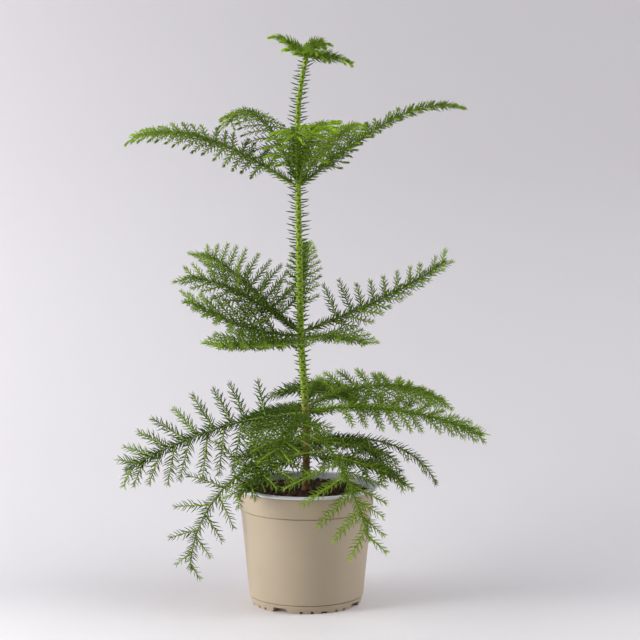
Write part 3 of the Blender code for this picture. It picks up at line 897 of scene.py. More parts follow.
@dataclass
class Stem:
    """The upright stem: its line, its taper and the flare at its foot."""

    foot: float = 0.1345
    way: tuple[Vector, ...] = (
        Vector((0.0000, 0.0000, 0.1345)),
        Vector((-0.0008, 0.0010, 0.2250)),
        Vector((-0.0062, 0.0022, 0.3150)),
        Vector((-0.0087, 0.0008, 0.4420)),
        Vector((-0.0100, -0.0010, 0.5560)),
        Vector((-0.0070, -0.0004, 0.6040)),
        Vector((0.0005, 0.0010, 0.6450)),
    )
    flare_radius: float = 0.0062
    foot_radius: float = 0.0044
    tip_radius: float = 0.0027
    flare_fade: float = 0.006
    taper_bend: float = 1.6
    cap_height: float = 0.0014
    cap_share: float = 0.5
    halvings: int = 24
    sides: int = 26
    ring_pitch: float = 0.0011
    cushions: Cushions = Cushions(pitch=0.00125, depth=0.00075)

    def at(self, height: float) -> Vector:
        """Finds the stem's centre by halving along its curve.

        Args:
            height: the height above the floor.

        Returns:
            The centre at that height.
        """
        low, high = 0.0, 1.0
        for _ in range(self.halvings):
            middle = (low + high) / 2
            if along(self.way, middle).z < height:
                low = middle
            else:
                high = middle
        return along(self.way, low)

    def radius(self, height: float) -> float:
        """Works out the stem's radius from its taper and its flare.

        Args:
            height: the height above the floor.

        Returns:
            The radius at that height.
        """
        share = (height - self.foot) / (self.way[-1].z - self.foot)
        share = min(max(share, 0.0), 1.0)
        taper = (self.tip_radius - self.foot_radius) * share**self.taper_bend
        flare = (self.flare_radius - self.foot_radius) * math.exp(
            (self.foot - height) / self.flare_fade
        )
        return self.foot_radius + taper + flare

    def build(self, bark: bpy.types.Material) -> bpy.types.Object:
        """Grows the stem and its cushions as one mesh.

        Args:
            bark: the finish.

        Returns:
            The stem.
        """
        top = self.way[-1].z
        rings = int((top - self.foot) / self.ring_pitch)
        heights = [self.foot + (top - self.foot) * i / rings for i in range(rings + 1)]
        centres = [self.at(h) for h in heights]
        centres[0].z = self.foot
        radii = [self.radius(h) for h in heights]
        centres.append(centres[-1] + UP * self.cap_height)
        radii.append(self.tip_radius * self.cap_share)
        made = bmesh.new()
        made.verts.layers.float.new("cushion")
        sweep_limb(made, centres, radii, self.sides, self.cushions, level=True)
        piece = show("trunk_bark", mesh_of(made, "trunk_bark"), bark)
        return own(piece, ["trunk"])


@dataclass
class Axis:
    """The centre line of a bough or twig that needles clothe.

    `normal` stands on the frond's plane, `youth` is how fresh its tints are, with its bough's
    painted light and shade in it, and `fresh` how much fresher its tip is. `shoot` is how long
    the closed young shoot at its tip is, and `bare` the share that has no needles.
    """

    points: np.ndarray
    radii: np.ndarray
    normal: np.ndarray
    needle: float
    youth: float
    fresh: float
    shoot: float
    pitch: float
    bare: float = 0.0


class BoughLine:
    """A bough's centre line, from the trunk's middle to its tip."""

    PIECES = 32
    LEAST_FOOT = 0.0009
    THICKER_BY_LENGTH = 0.0038
    TIP_RADIUS = 0.0006

    def __init__(self, stem: Stem, whorl: Whorl, bough: Bough) -> None:
        """Grows the line step by step from the stem.

        Args:
            stem: the stem that it leaves.
            whorl: the whorl that it belongs to.
            bough: where it points and how it bends.
        """
        self.bough = bough
        place = stem.at(whorl.height + bough.step)
        self.places = [place.copy()]
        self.ways: list[Vector] = []
        for i in range(self.PIECES):
            share = (i + 0.5) / self.PIECES
            pitch = bough.rise + (bough.tip_rise - bough.rise) * share**bough.bend
            way = direction(bough.heading + bough.sweep * share, pitch)
            place = place + way * (bough.length / self.PIECES)
            self.ways.append(way)
            self.places.append(place.copy())

    def at(self, share: float) -> Vector:
        """The point at this share of the length."""
        place = min(max(share, 0.0), 1.0) * self.PIECES
        i = min(int(place), self.PIECES - 1)
        return self.places[i].lerp(self.places[i + 1], place - i)

    def way(self, share: float) -> Vector:
        """The direction of growth at this share of the length."""
        return self.ways[min(int(max(share, 0.0) * self.PIECES), self.PIECES - 1)]

    def side(self, share: float, side: int) -> Vector:
        """The direction across the frond.

        Args:
            share: the share of the bough's length.
            side: 1 for the left of growth and -1 for the right.

        Returns:
            The unit direction, with the frond's roll and cup in it.
        """
        way = self.way(share)
        turn = math.radians(self.bough.heading + self.bough.sweep * share)
        level = Vector((-math.sin(turn), math.cos(turn), 0.0))
        left = Matrix.Rotation(math.radians(self.bough.roll), 3, way) @ level
        cup = math.radians(self.bough.cup)
        return left * (side * math.cos(cup)) + way.cross(left) * math.sin(cup)

    def normal(self, share: float) -> Vector:
        """The direction that stands on the frond's plane."""
        return self.way(share).cross(self.side(share, 1)).normalized()

    def radius(self, share: float) -> float:
        """The bough's radius at this share of the length."""
        foot = self.LEAST_FOOT + self.THICKER_BY_LENGTH * self.bough.length
        return foot + (self.TIP_RADIUS - foot) * share


@dataclass(frozen=True)
class TwigRule:
    """How twigs leave a bough: in pairs, at an angle that closes towards the tip."""

    first_share: float = 0.19
    last_share: float = 0.975
    stagger: float = 0.22
    jitter: float = 0.12
    angle_at_foot: float = 84.0
    angle_at_tip: float = 36.0
    angle_bend: float = 1.8
    angle_jitter: float = 5.0
    length_jitter: float = 0.14
    foot_twig: float = 0.72
    full_from: float = 0.30
    full_to: float = 0.35
    tip_twig: float = 0.36
    pieces: int = 7
    foot_radius: float = 0.00105
    tip_radius: float = 0.00060

    def length(self, share: float, bough: Bough) -> float:
        """How long a bough's twigs are at this share of its length."""
        swell = min(1.0, self.foot_twig + (1.0 - self.foot_twig) * share / self.full_from)
        fall = max(0.0, (share - self.full_to) / (1.0 - self.full_to))
        return bough.spread * swell * (1.0 - (1.0 - self.tip_twig) * fall**bough.taper)

    def angle(self, share: float) -> float:
        """The angle between a twig and its bough at this share of the bough."""
        closing = self.angle_at_tip - self.angle_at_foot
        return self.angle_at_foot + closing * share**self.angle_bend

    def twigs(self, line: BoughLine, whorl: Whorl, seed: str) -> list[tuple[float, list[Vector]]]:
        """The twigs of one bough.

        Args:
            line: the bough's centre line.
            whorl: the whorl that it belongs to.
            seed: what the twigs' small differences are drawn from.

        Returns:
            For each twig, its share of the bough and its centre line.
        """
        bough = line.bough
        rng = random.Random(seed)
        spacing = whorl.spacing * bough.sparse
        pairs = max(2, round((1.0 - self.first_share) * bough.length / spacing))
        grown = []
        for i in range(pairs):
            for side in (1, -1):
                place = i + 0.5 + self.stagger * side + rng.uniform(-self.jitter, self.jitter)
                share = self.first_share + (1.0 - self.first_share) * place / pairs
                share = min(share, self.last_share)
                angle = self.angle(share) + rng.uniform(-self.angle_jitter, self.angle_jitter)
                turn = math.radians(angle)
                leave = line.way(share) * math.cos(turn) + line.side(share, side) * math.sin(turn)
                length = self.length(share, bough) * (1.0 if side > 0 else bough.right)
                length *= 1.0 - rng.uniform(0.0, self.length_jitter)
                fall = math.tan(math.radians(bough.droop)) * length / 2
                foot = line.at(share)
                shares = [k / self.pieces for k in range(self.pieces + 1)]
                points = [foot + leave * (length * s) - UP * (fall * s * s) for s in shares]
                grown.append((share, points))
        return grown


# ==================================================================== needles
@dataclass
class NeedleCoat:
    """Clothes axes in awl needles and joins them into a mesh for each tint.

    `profile` is how wide a needle is at each share of its length. `spread_deg` is the angle
    between a needle and its axis along the twig, `closed_deg` the angle at its tip and
    `shoot_deg` on a young shoot, where the needles are `shoot_share` as long and stand
    `shoot_pitch` apart. `curl` is how far a needle bends forward. The reaches are distances
    along the axis: `tuft_reach` holds the extra needles at the tip, `shut_reach` is where a
    shoot opens, `close_reach` where the needles close towards the tip, `taper_reach` where
    they shorten and `foot_reach` where they are short at the foot.
    """

    label: str
    slot: str
    nodes: list[str]
    keep: Callable[[np.ndarray], np.ndarray]
    width: float = 0.145
    least_width: float = 0.0
    flatness: float = 1.10
    curl: float = 0.24
    spread_deg: float = 64.0
    closed_deg: float = 46.0
    shoot_deg: float = 24.0
    shoot_share: float = 0.50
    shoot_pitch: float = 0.00022
    lift: float = 0.10
    tips: int = 4
    least: int = 6
    profile: tuple[tuple[float, float], ...] = ((0.0, 0.80), (0.26, 1.0), (0.68, 0.78), (1.0, 0.0))
    tuft_reach: float = 0.004
    shut_reach: float = 0.003
    close_reach: float = 0.009
    taper_reach: float = 0.022
    foot_reach: float = 0.008
    close_from: float = 1.2
    taper_bend: float = 0.8
    tip_share: float = 0.48
    foot_share: float = 0.72
    oval: float = 0.85
    seat: float = 0.5
    young_spread: float = 0.80
    place_jitter: float = 0.3
    turn_jitter: float = 0.25
    angle_jitter: float = 8.0
    length_range: tuple[float, float] = (0.84, 1.08)
    tint_span: float = 4.0
    tint_scatter: tuple[float, float] = (0.55, 0.45)
    fresh_steps: float = 1.6
    tones: dict[Tone, JoinedCopies] = field(default_factory=dict)

    def prototype(self) -> JoinedCopies:
        """Makes one needle of unit length: a three-sided awl, widest a quarter of the way up.

        Returns:
            The needle, ready for its copies.
        """
        made = bmesh.new()
        bmesh.ops.create_cone(made, cap_ends=True, segments=3, radius1=1.0, radius2=0.0, depth=1.0)
        bmesh.ops.translate(made, verts=made.verts, vec=(0.0, 0.0, 0.5))
        bmesh.ops.remove_doubles(made, verts=made.verts, dist=SAME_PLACE)
        for height, _ in self.profile[1:-1]:
            bmesh.ops.bisect_plane(
                made, geom=[*made.verts, *made.edges, *made.faces],
                plane_co=(0.0, 0.0, height), plane_no=(0.0, 0.0, 1.0),
            )
        for vert in made.verts:
            reach = math.hypot(vert.co.x, vert.co.y)
            _, width = min(self.profile, key=lambda step: abs(step[0] - vert.co.z))
            if reach > SAME_PLACE:
                vert.co.x *= width / reach
                vert.co.y *= width / reach
        bmesh.ops.recalc_face_normals(made, faces=made.faces)
        return JoinedCopies.of(made)

    def place(
        self, feet: np.ndarray, ways: np.ndarray, lean: np.ndarray, lengths: np.ndarray,
        curl: float,
    ) -> np.ndarray:
        """Places needles.

        Args:
            feet: where each needle starts.
            ways: the direction in which it leaves.
            lean: the direction that it bends towards.
            lengths: its length.
            curl: how far it bends for its length.

        Returns:
            The points of all the needles, as copies by points by 3.
        """
        shape = self.shape.points
        ways = ways / np.linalg.norm(ways, axis=1, keepdims=True)
        lean = lean - ways * (lean * ways).sum(1, keepdims=True)
        lean = lean / np.maximum(np.linalg.norm(lean, axis=1, keepdims=True), 1e-9)
        flat = np.cross(ways, lean)
        wide = np.maximum(lengths * self.width, self.least_width)[:, None] / 2
        size = lengths[:, None]
        u, v, t = shape[:, 0][None], shape[:, 1][None], shape[:, 2][None]
        return (
            feet[:, None, :]
            + flat[:, None, :] * (u * wide)[..., None]
            + lean[:, None, :] * (v * wide * self.flatness + curl * size * t * t)[..., None]
            + ways[:, None, :] * (t * size)[..., None]
        )

    def __post_init__(self) -> None:
        """Makes the prototype once."""
        self.shape = self.prototype()

    def store(self, tone: Tone, placed: np.ndarray) -> None:
        """Keeps the needles that stay clear of the pot and inside the plant's reach."""
        placed = placed[self.keep(placed)]
        if tone not in self.tones:
            self.tones[tone] = JoinedCopies(self.shape.points, self.shape.faces)
        self.tones[tone].add(placed)

    def clothe(self, axis: Axis, seed: str) -> None:
        """Clothes one axis in a golden spiral of needles, closing to a tuft at its tip.

        Args:
            axis: the axis.
            seed: what the needles' small differences are drawn from.
        """
        rng = np.random.default_rng(zlib.crc32(seed.encode()))
        steps = np.linalg.norm(np.diff(axis.points, axis=0), axis=1)
        marks = np.concatenate([[0.0], np.cumsum(steps)])
        total = marks[-1]
        count = max(self.least, int(total * (1.0 - axis.bare) / axis.pitch))
        share = axis.bare + (1.0 - axis.bare) * (np.arange(count) + 0.5) / count
        extra = self.tips + int(axis.shoot / self.shoot_pitch)
        end = max(axis.shoot, self.tuft_reach) * rng.uniform(0.0, 1.0, extra)
        share = np.concatenate([share, 1.0 - end / total])
        shift = rng.uniform(-self.place_jitter, self.place_jitter, len(share))
        share = np.clip(share + shift * axis.pitch / total, 0.0, 1.0)
        order = np.arange(len(share))
        turn = rng.uniform(-self.turn_jitter, self.turn_jitter, len(share))
        turn = order * GOLDEN_ANGLE + turn
        place = share * total
        feet = np.stack([np.interp(place, marks, axis.points[:, k]) for k in range(3)], 1)
        radius = np.interp(place, marks, axis.radii)
        ways = np.gradient(axis.points, axis=0)
        grow = np.stack([np.interp(place, marks, ways[:, k]) for k in range(3)], 1)
        grow /= np.linalg.norm(grow, axis=1, keepdims=True)
        upright = axis.normal[None] - grow * (grow @ axis.normal)[:, None]
        upright /= np.linalg.norm(upright, axis=1, keepdims=True)
        across = np.cross(grow, upright)
        out = upright * np.cos(turn)[:, None] * self.oval + across * np.sin(turn)[:, None]
        out /= np.linalg.norm(out, axis=1, keepdims=True)
        near = (1.0 - share) * total
        past = near - axis.shoot
        grown = np.maximum(past, 0.0)
        shut = np.clip(0.5 - past / self.shut_reach, 0.0, 1.0) * (axis.shoot > 0.0)
        close = np.clip(self.close_from - grown / self.close_reach, 0.0, 1.0)
        taper = np.clip(grown / self.taper_reach, 0.0, 1.0) ** self.taper_bend
        spread = self.spread_deg * (1.0 - (1.0 - self.young_spread) * axis.youth)
        angle = spread + (self.closed_deg - spread) * close
        wander = rng.uniform(-self.angle_jitter, self.angle_jitter, len(share))
        angle = np.radians(angle + (self.shoot_deg - angle) * shut + wander)
        lengths = axis.needle * rng.uniform(*self.length_range, len(share))
        reach = self.tip_share + (1.0 - self.tip_share) * taper
        lengths *= reach + (self.shoot_share - reach) * shut
        from_foot = np.clip(place / self.foot_reach, 0.0, 1.0)
        lengths *= self.foot_share + (1.0 - self.foot_share) * from_foot
        leave = grow * np.cos(angle)[:, None] + out * np.sin(angle)[:, None]
        leave[:, 2] += self.lift
        feet = feet + out * radius[:, None] * self.seat
        placed = self.place(feet, leave, grow, lengths, self.curl)
        inner, outer = self.tints(axis, rng)
        fresh = near < self.shut_reach + axis.shoot
        self.store(inner, placed[~fresh])
        self.store(outer, placed[fresh])

    def tints(self, axis: Axis, rng: np.random.Generator) -> tuple[Tone, Tone]:
        """Deals out the tints of an axis by its youth.

        Args:
            axis: the axis.
            rng: what the small differences are drawn from.

        Returns:
            The tint along the axis and the tint at its tip.
        """
        tones = list(Tone)
        place = axis.youth * self.tint_span + rng.normal(*self.tint_scatter)
        inner = min(max(int(place), 0), len(tones) - 1)
        outer = inner + 1 + int(rng.uniform() < axis.youth) + round(self.fresh_steps * axis.fresh)
        outer = min(outer, len(tones) - 1)
        return tones[inner], tones[outer]

    def build(self) -> list[bpy.types.Object]:
        """Joins the needles into one piece for each tint.

        Returns:
            The pieces.
        """
        pieces = []
        for tone in Tone:
            copies = self.tones.get(tone)
            if copies is None or not copies.batches:
                continue
            name = f"needles_{self.label}_{tone.label}"
            piece = show(name, copies.mesh(name), NEEDLE_SKINS[tone])
            LOG.info("%s: %d triangles", name, copies.triangles)
            pieces.append(own(piece, self.nodes))
        return pieces


# ======================================================================== pot
@dataclass(frozen=True)
class Notch:
    """A drainage notch: its angle past its quarter's first one, its widths and its height."""

    offset_deg: float
    foot_width: float
    top_width: float
    height: float


@dataclass
class NurseryPot:
    """The turned pot: its section, its pale lip and the drainage notches in its foot.

    The gaps are how far the needles stay from the rim, the wall's inside and the floor.
    """

    rim_radius: float = 0.085
    rim_height: float = 0.1410
    lip_thickness: float = 0.0028
    lip_round: float = 0.0008
    collar_top_radius: float = 0.0797
    collar_foot_radius: float = 0.0788
    collar_foot_height: float = 0.1146
    collar_step: float = 0.0011
    groove: float = 0.0010
    body_foot_radius: float = 0.0678
    foot_ring_height: float = 0.0106
    foot_step: float = 0.0007
    foot_radius: float = 0.0647
    foot_round: float = 0.0004
    wall: float = 0.0025
    foot_wall: float = 0.0029
    floor: float = 0.0068
    segments: int = 160
    sharp_deg: float = 24.0
    rim_depth: float = 0.002
    rim_foot: float = 0.003
    skin: float = 0.0003
    gap: float = 0.0004
    wall_gap: float = 0.002
    floor_gap: float = 0.001
    soil_height: float = 0.1342
    first_wide_deg: float = 242.0
    quarters: int = 4
    notch_reach: tuple[float, float] = (0.056, 0.072)
    notches: tuple[Notch, ...] = (
        Notch(0.0, foot_width=0.0215, top_width=0.0165, height=0.0056),
        Notch(23.0, foot_width=0.0044, top_width=0.0024, height=0.0030),
        Notch(34.0, foot_width=0.0044, top_width=0.0024, height=0.0030),
        Notch(47.0, foot_width=0.0085, top_width=0.0072, height=0.0022),
        Notch(61.0, foot_width=0.0044, top_width=0.0024, height=0.0030),
        Notch(71.0, foot_width=0.0044, top_width=0.0024, height=0.0030),
    )
    notch_start: float = -0.002

    def inner_radius(self, height: float) -> float:
        """The inside of the wall at a height."""
        foot = self.body_foot_radius - self.foot_wall
        top = self.collar_top_radius - self.wall
        return foot + (top - foot) * height / self.rim_height

    def outer_radius(self, height: np.ndarray) -> np.ndarray:
        """The outside of the wall, with the rim in it.

        Args:
            height: the heights.

        Returns:
            The radius at each of them.
        """
        heights, radii = zip(
            (0.0, self.foot_radius),
            (self.foot_ring_height, self.body_foot_radius),
            (self.collar_foot_height, self.collar_foot_radius),
            (self.rim_height - self.rim_foot, self.collar_top_radius),
            (self.rim_height - self.rim_depth, self.rim_radius),
            (self.rim_height, self.rim_radius),
        )
        return np.interp(height, heights, radii)

    def step_groove(self, radius: float, step: float, height: float) -> list[tuple[float, float]]:
        """The step under a wider band of the wall, undercut to a thin dark line.

        Args:
            radius: the wider band's radius.
            step: how far the wall below is set back.
            height: where the wider band begins.

        Returns:
            The step's places in the section, from below.
        """
        return [
            (radius - step, height - self.groove * 1.3),
            (radius - step - self.groove, height - self.groove),
            (radius - step - self.groove, height),
            (radius, height),
            (radius, height + self.groove * 0.3),
        ]

    def profile(self) -> list[tuple[float, float]]:
        """Draws the section of the wall.

        Returns:
            Its points, from the middle of the underside round to the middle of the floor.
        """
        under = self.rim_height - self.lip_thickness
        top, lip = self.rim_height, self.lip_round
        inner = self.inner_radius
        return [
            (0.0, 0.0),
            (self.foot_radius - self.foot_round, 0.0),
            (self.foot_radius, self.foot_round),
            *self.step_groove(self.body_foot_radius, self.foot_step, self.foot_ring_height),
            *self.step_groove(self.collar_foot_radius, self.collar_step, self.collar_foot_height),
            (self.collar_top_radius, under - self.groove * 1.6),
            (self.collar_top_radius - self.groove * 0.6, under - self.groove),
            (self.collar_top_radius - self.groove * 0.6, under),
            (self.rim_radius - lip, under),
            (self.rim_radius - lip * 0.3, under + lip * 0.3),
            (self.rim_radius, under + lip),
            (self.rim_radius, top - lip),
            (self.rim_radius - lip * 0.3, top - lip * 0.3),
            (self.rim_radius - lip, top),
            (inner(top) + lip, top),
            (inner(top) + lip * 0.3, top - lip * 0.3),
            (inner(under), under),
            (inner(self.floor), self.floor),
            (0.0, self.floor),
        ]

    def build(self, plastic: bpy.types.Material, pale: bpy.types.Material) -> bpy.types.Object:
        """Turns the pot, cuts its notches and makes its lip and its inside pale.

        Args:
            plastic: the finish of the outside.
            pale: the finish of the lip and the inside.

        Returns:
            The pot.
        """
        made = turned(self.profile(), self.segments)
        piece = show("pot_shell", mesh_of(made, "pot_shell", self.sharp_deg), plastic)
        self.cut_notches(piece)
        mesh = piece.data
        mesh.materials.append(pale)
        for face in mesh.polygons:
            middle = face.center
            reach = math.hypot(middle.x, middle.y)
            on_lip = middle.z > self.rim_height - self.lip_thickness + self.lip_round * 0.5
            inside = middle.z > self.floor and reach < self.inner_radius(middle.z) + self.skin
            face.material_index = int(on_lip or inside)
        return own(piece, ["pot"])

    def cut_notches(self, piece: bpy.types.Object) -> None:
        """Cuts the drainage notches through the foot ring.

        Args:
            piece: the pot.
        """
        made = bmesh.new()
        inner, outer = self.notch_reach
        for quarter in range(self.quarters):
            first_deg = self.first_wide_deg + 360.0 / self.quarters * quarter
            for notch in self.notches:
                block = bmesh.ops.create_cube(made, size=1.0)["verts"]
                for vert in block:
                    upper = vert.co.z > 0
                    width = notch.top_width if upper else notch.foot_width
                    vert.co = Vector((
                        outer if vert.co.x > 0 else inner,
                        math.copysign(width / 2, vert.co.y),
                        notch.height if upper else self.notch_start,
                    ))
                turn = Matrix.Rotation(math.radians(first_deg + notch.offset_deg), 3, "Z")
                bmesh.ops.rotate(made, verts=block, cent=(0, 0, 0), matrix=turn)
        cutter = add("notch_cutter", mesh_of(made, "notch_cutter"))
        cut = piece.modifiers.new("notches", "BOOLEAN")
        cut.operation, cut.solver, cut.object = "DIFFERENCE", "EXACT", cutter
        whole = evaluated(piece)
        whole.set_sharp_from_angle(angle=math.radians(self.sharp_deg))
        piece.modifiers.clear()
        old, piece.data = piece.data, whole
        bpy.data.meshes.remove(old)
        bpy.data.objects.remove(cutter)

    def holds(self, points: np.ndarray) -> np.ndarray:
        """Tells which points lie in the pot's wall, in the soil or in the floor.

        Args:
            points: the points, with their coordinates last.

        Returns:
            Whether each of them does.
        """
        reach = np.hypot(points[..., 0], points[..., 1])
        height = points[..., 2]
        under_rim = height < self.rim_height + self.gap
        in_pot = under_rim & (reach < self.outer_radius(height) + self.gap)
        clear_radius = self.inner_radius(self.rim_height) - self.wall_gap
        over_soil = (height > self.soil_height) & (reach < clear_radius)
        return (in_pot & ~over_soil) | (height < self.floor_gap)


@dataclass
class PottingMix:
    """The potting mix: a crumbly mound that fills the pot, with loose crumbs on it."""

    edge_height: float = 0.1305
    shoulder_height: float = 0.1320
    crown: float = 0.0022
    floor: float = 0.0071
    clearance: float = 0.0003
    segments: int = 120
    rings: int = 34
    lump: float = 0.0016
    lump_grains: tuple[float, float] = (210.0, 520.0)
    fine_share: float = 0.4
    shoulder_share: float = 0.95
    crown_bend: float = 1.4
    edge_rest: float = 0.001
    calm_radius: float = 0.007
    calm_fade: float = 0.004
    seed: int = 7
    crumbs: int = 1500
    crumb_start: float = 0.012
    crumb_margin: float = 0.003
    crumb_size: tuple[float, float] = (0.0006, 0.0016)
    large_from: float = 0.9
    crumb_stretch: tuple[float, float] = (0.45, 1.5)
    crumb_rough: float = 0.28
    crumb_seat: float = 0.3
    crumb_tilt: float = 0.6

    def surface(self, reach: float, edge: float) -> float:
        """The smooth height of the mound.

        Args:
            reach: the distance from the middle.
            edge: the mound's radius.

        Returns:
            The height there.
        """
        past = reach / edge - self.shoulder_share
        if past > 0.0:
            fall = self.shoulder_height - self.edge_height
            return self.shoulder_height - fall * past / (1.0 - self.shoulder_share)
        dome = 1.0 - (reach / (edge * self.shoulder_share)) ** self.crown_bend
        return self.shoulder_height + self.crown * dome

    def build(
        self, pot: NurseryPot, peat: bpy.types.Material, crumb: bpy.types.Material
    ) -> list[bpy.types.Object]:
        """Makes the mound and its crumbs.

        Args:
            pot: the pot that it fills.
            peat: the finish of the mound.
            crumb: the finish of the crumbs.

        Returns:
            The two pieces.
        """
        edge = pot.inner_radius(self.shoulder_height) - self.clearance
        foot = pot.inner_radius(self.floor) - self.clearance
        profile = [(0.0, self.floor), (foot, self.floor)]
        shares = [1.0 - i / self.rings for i in range(self.rings + 1)]
        profile += [(edge * s, self.surface(edge * s, edge)) for s in shares]
        made = turned(profile, self.segments)
        for vert in made.verts:
            reach = math.hypot(vert.co.x, vert.co.y)
            if vert.co.z > self.edge_height - self.lump and reach < edge - self.edge_rest:
                stir = min(1.0, max(0.0, (reach - self.calm_radius) / self.calm_fade))
                coarse, fine = (noise.noise(vert.co * grain) for grain in self.lump_grains)
                lumps = coarse * (1.0 - self.fine_share) + fine * self.fine_share
                vert.co.z += self.lump * stir * lumps
        mound = show("potting_mix_mound", mesh_of(made, "potting_mix_mound"), peat)
        own(mound, ["soil"])
        return [mound, self.scatter(edge, crumb)]

    def scatter(self, edge: float, finish: bpy.types.Material) -> bpy.types.Object:
        """Strews crumbs of bark and peat over the mound.

        Args:
            edge: the mound's radius.
            finish: the finish of the crumbs.

        Returns:
            The crumbs, joined.
        """
        made = bmesh.new()
        bmesh.ops.create_icosphere(made, subdivisions=1, radius=1.0)
        copies = JoinedCopies.of(made)
        rng = np.random.default_rng(self.seed)
        count = self.crumbs
        far = edge - self.crumb_margin
        reach = np.sqrt(rng.uniform(self.crumb_start**2, far**2, count))
        turn = rng.uniform(0.0, math.tau, count)
        size = rng.uniform(*self.crumb_size, count)
        size = size * (1.0 + (rng.uniform(size=count) > self.large_from))
        stretch = rng.uniform(*self.crumb_stretch, (count, 3))
        height = np.array([self.surface(r, edge) for r in reach]) + size * self.crumb_seat
        centre = np.stack([reach * np.cos(turn), reach * np.sin(turn), height], 1)
        rough = rng.uniform(-self.crumb_rough, self.crumb_rough, (count, len(copies.points), 1))
        shape = copies.points[None] * (1.0 + rough)
        shape = shape * (stretch * size[:, None])[:, None, :]
        spin = rng.uniform(0.0, math.tau, count)
        tilt = rng.uniform(-self.crumb_tilt, self.crumb_tilt, count)
        x, y, z = shape[..., 0], shape[..., 1], shape[..., 2]
        z, x = rotated(z, x, tilt)
        x, y = rotated(x, y, spin)
        copies.add(np.stack([x, y, z], -1) + centre[:, None, :])
        crumbs = show("potting_mix_crumbs", copies.mesh("potting_mix_crumbs"), finish)
        for face in crumbs.data.polygons:
            face.use_smooth = False
        return own(crumbs, ["soil"])


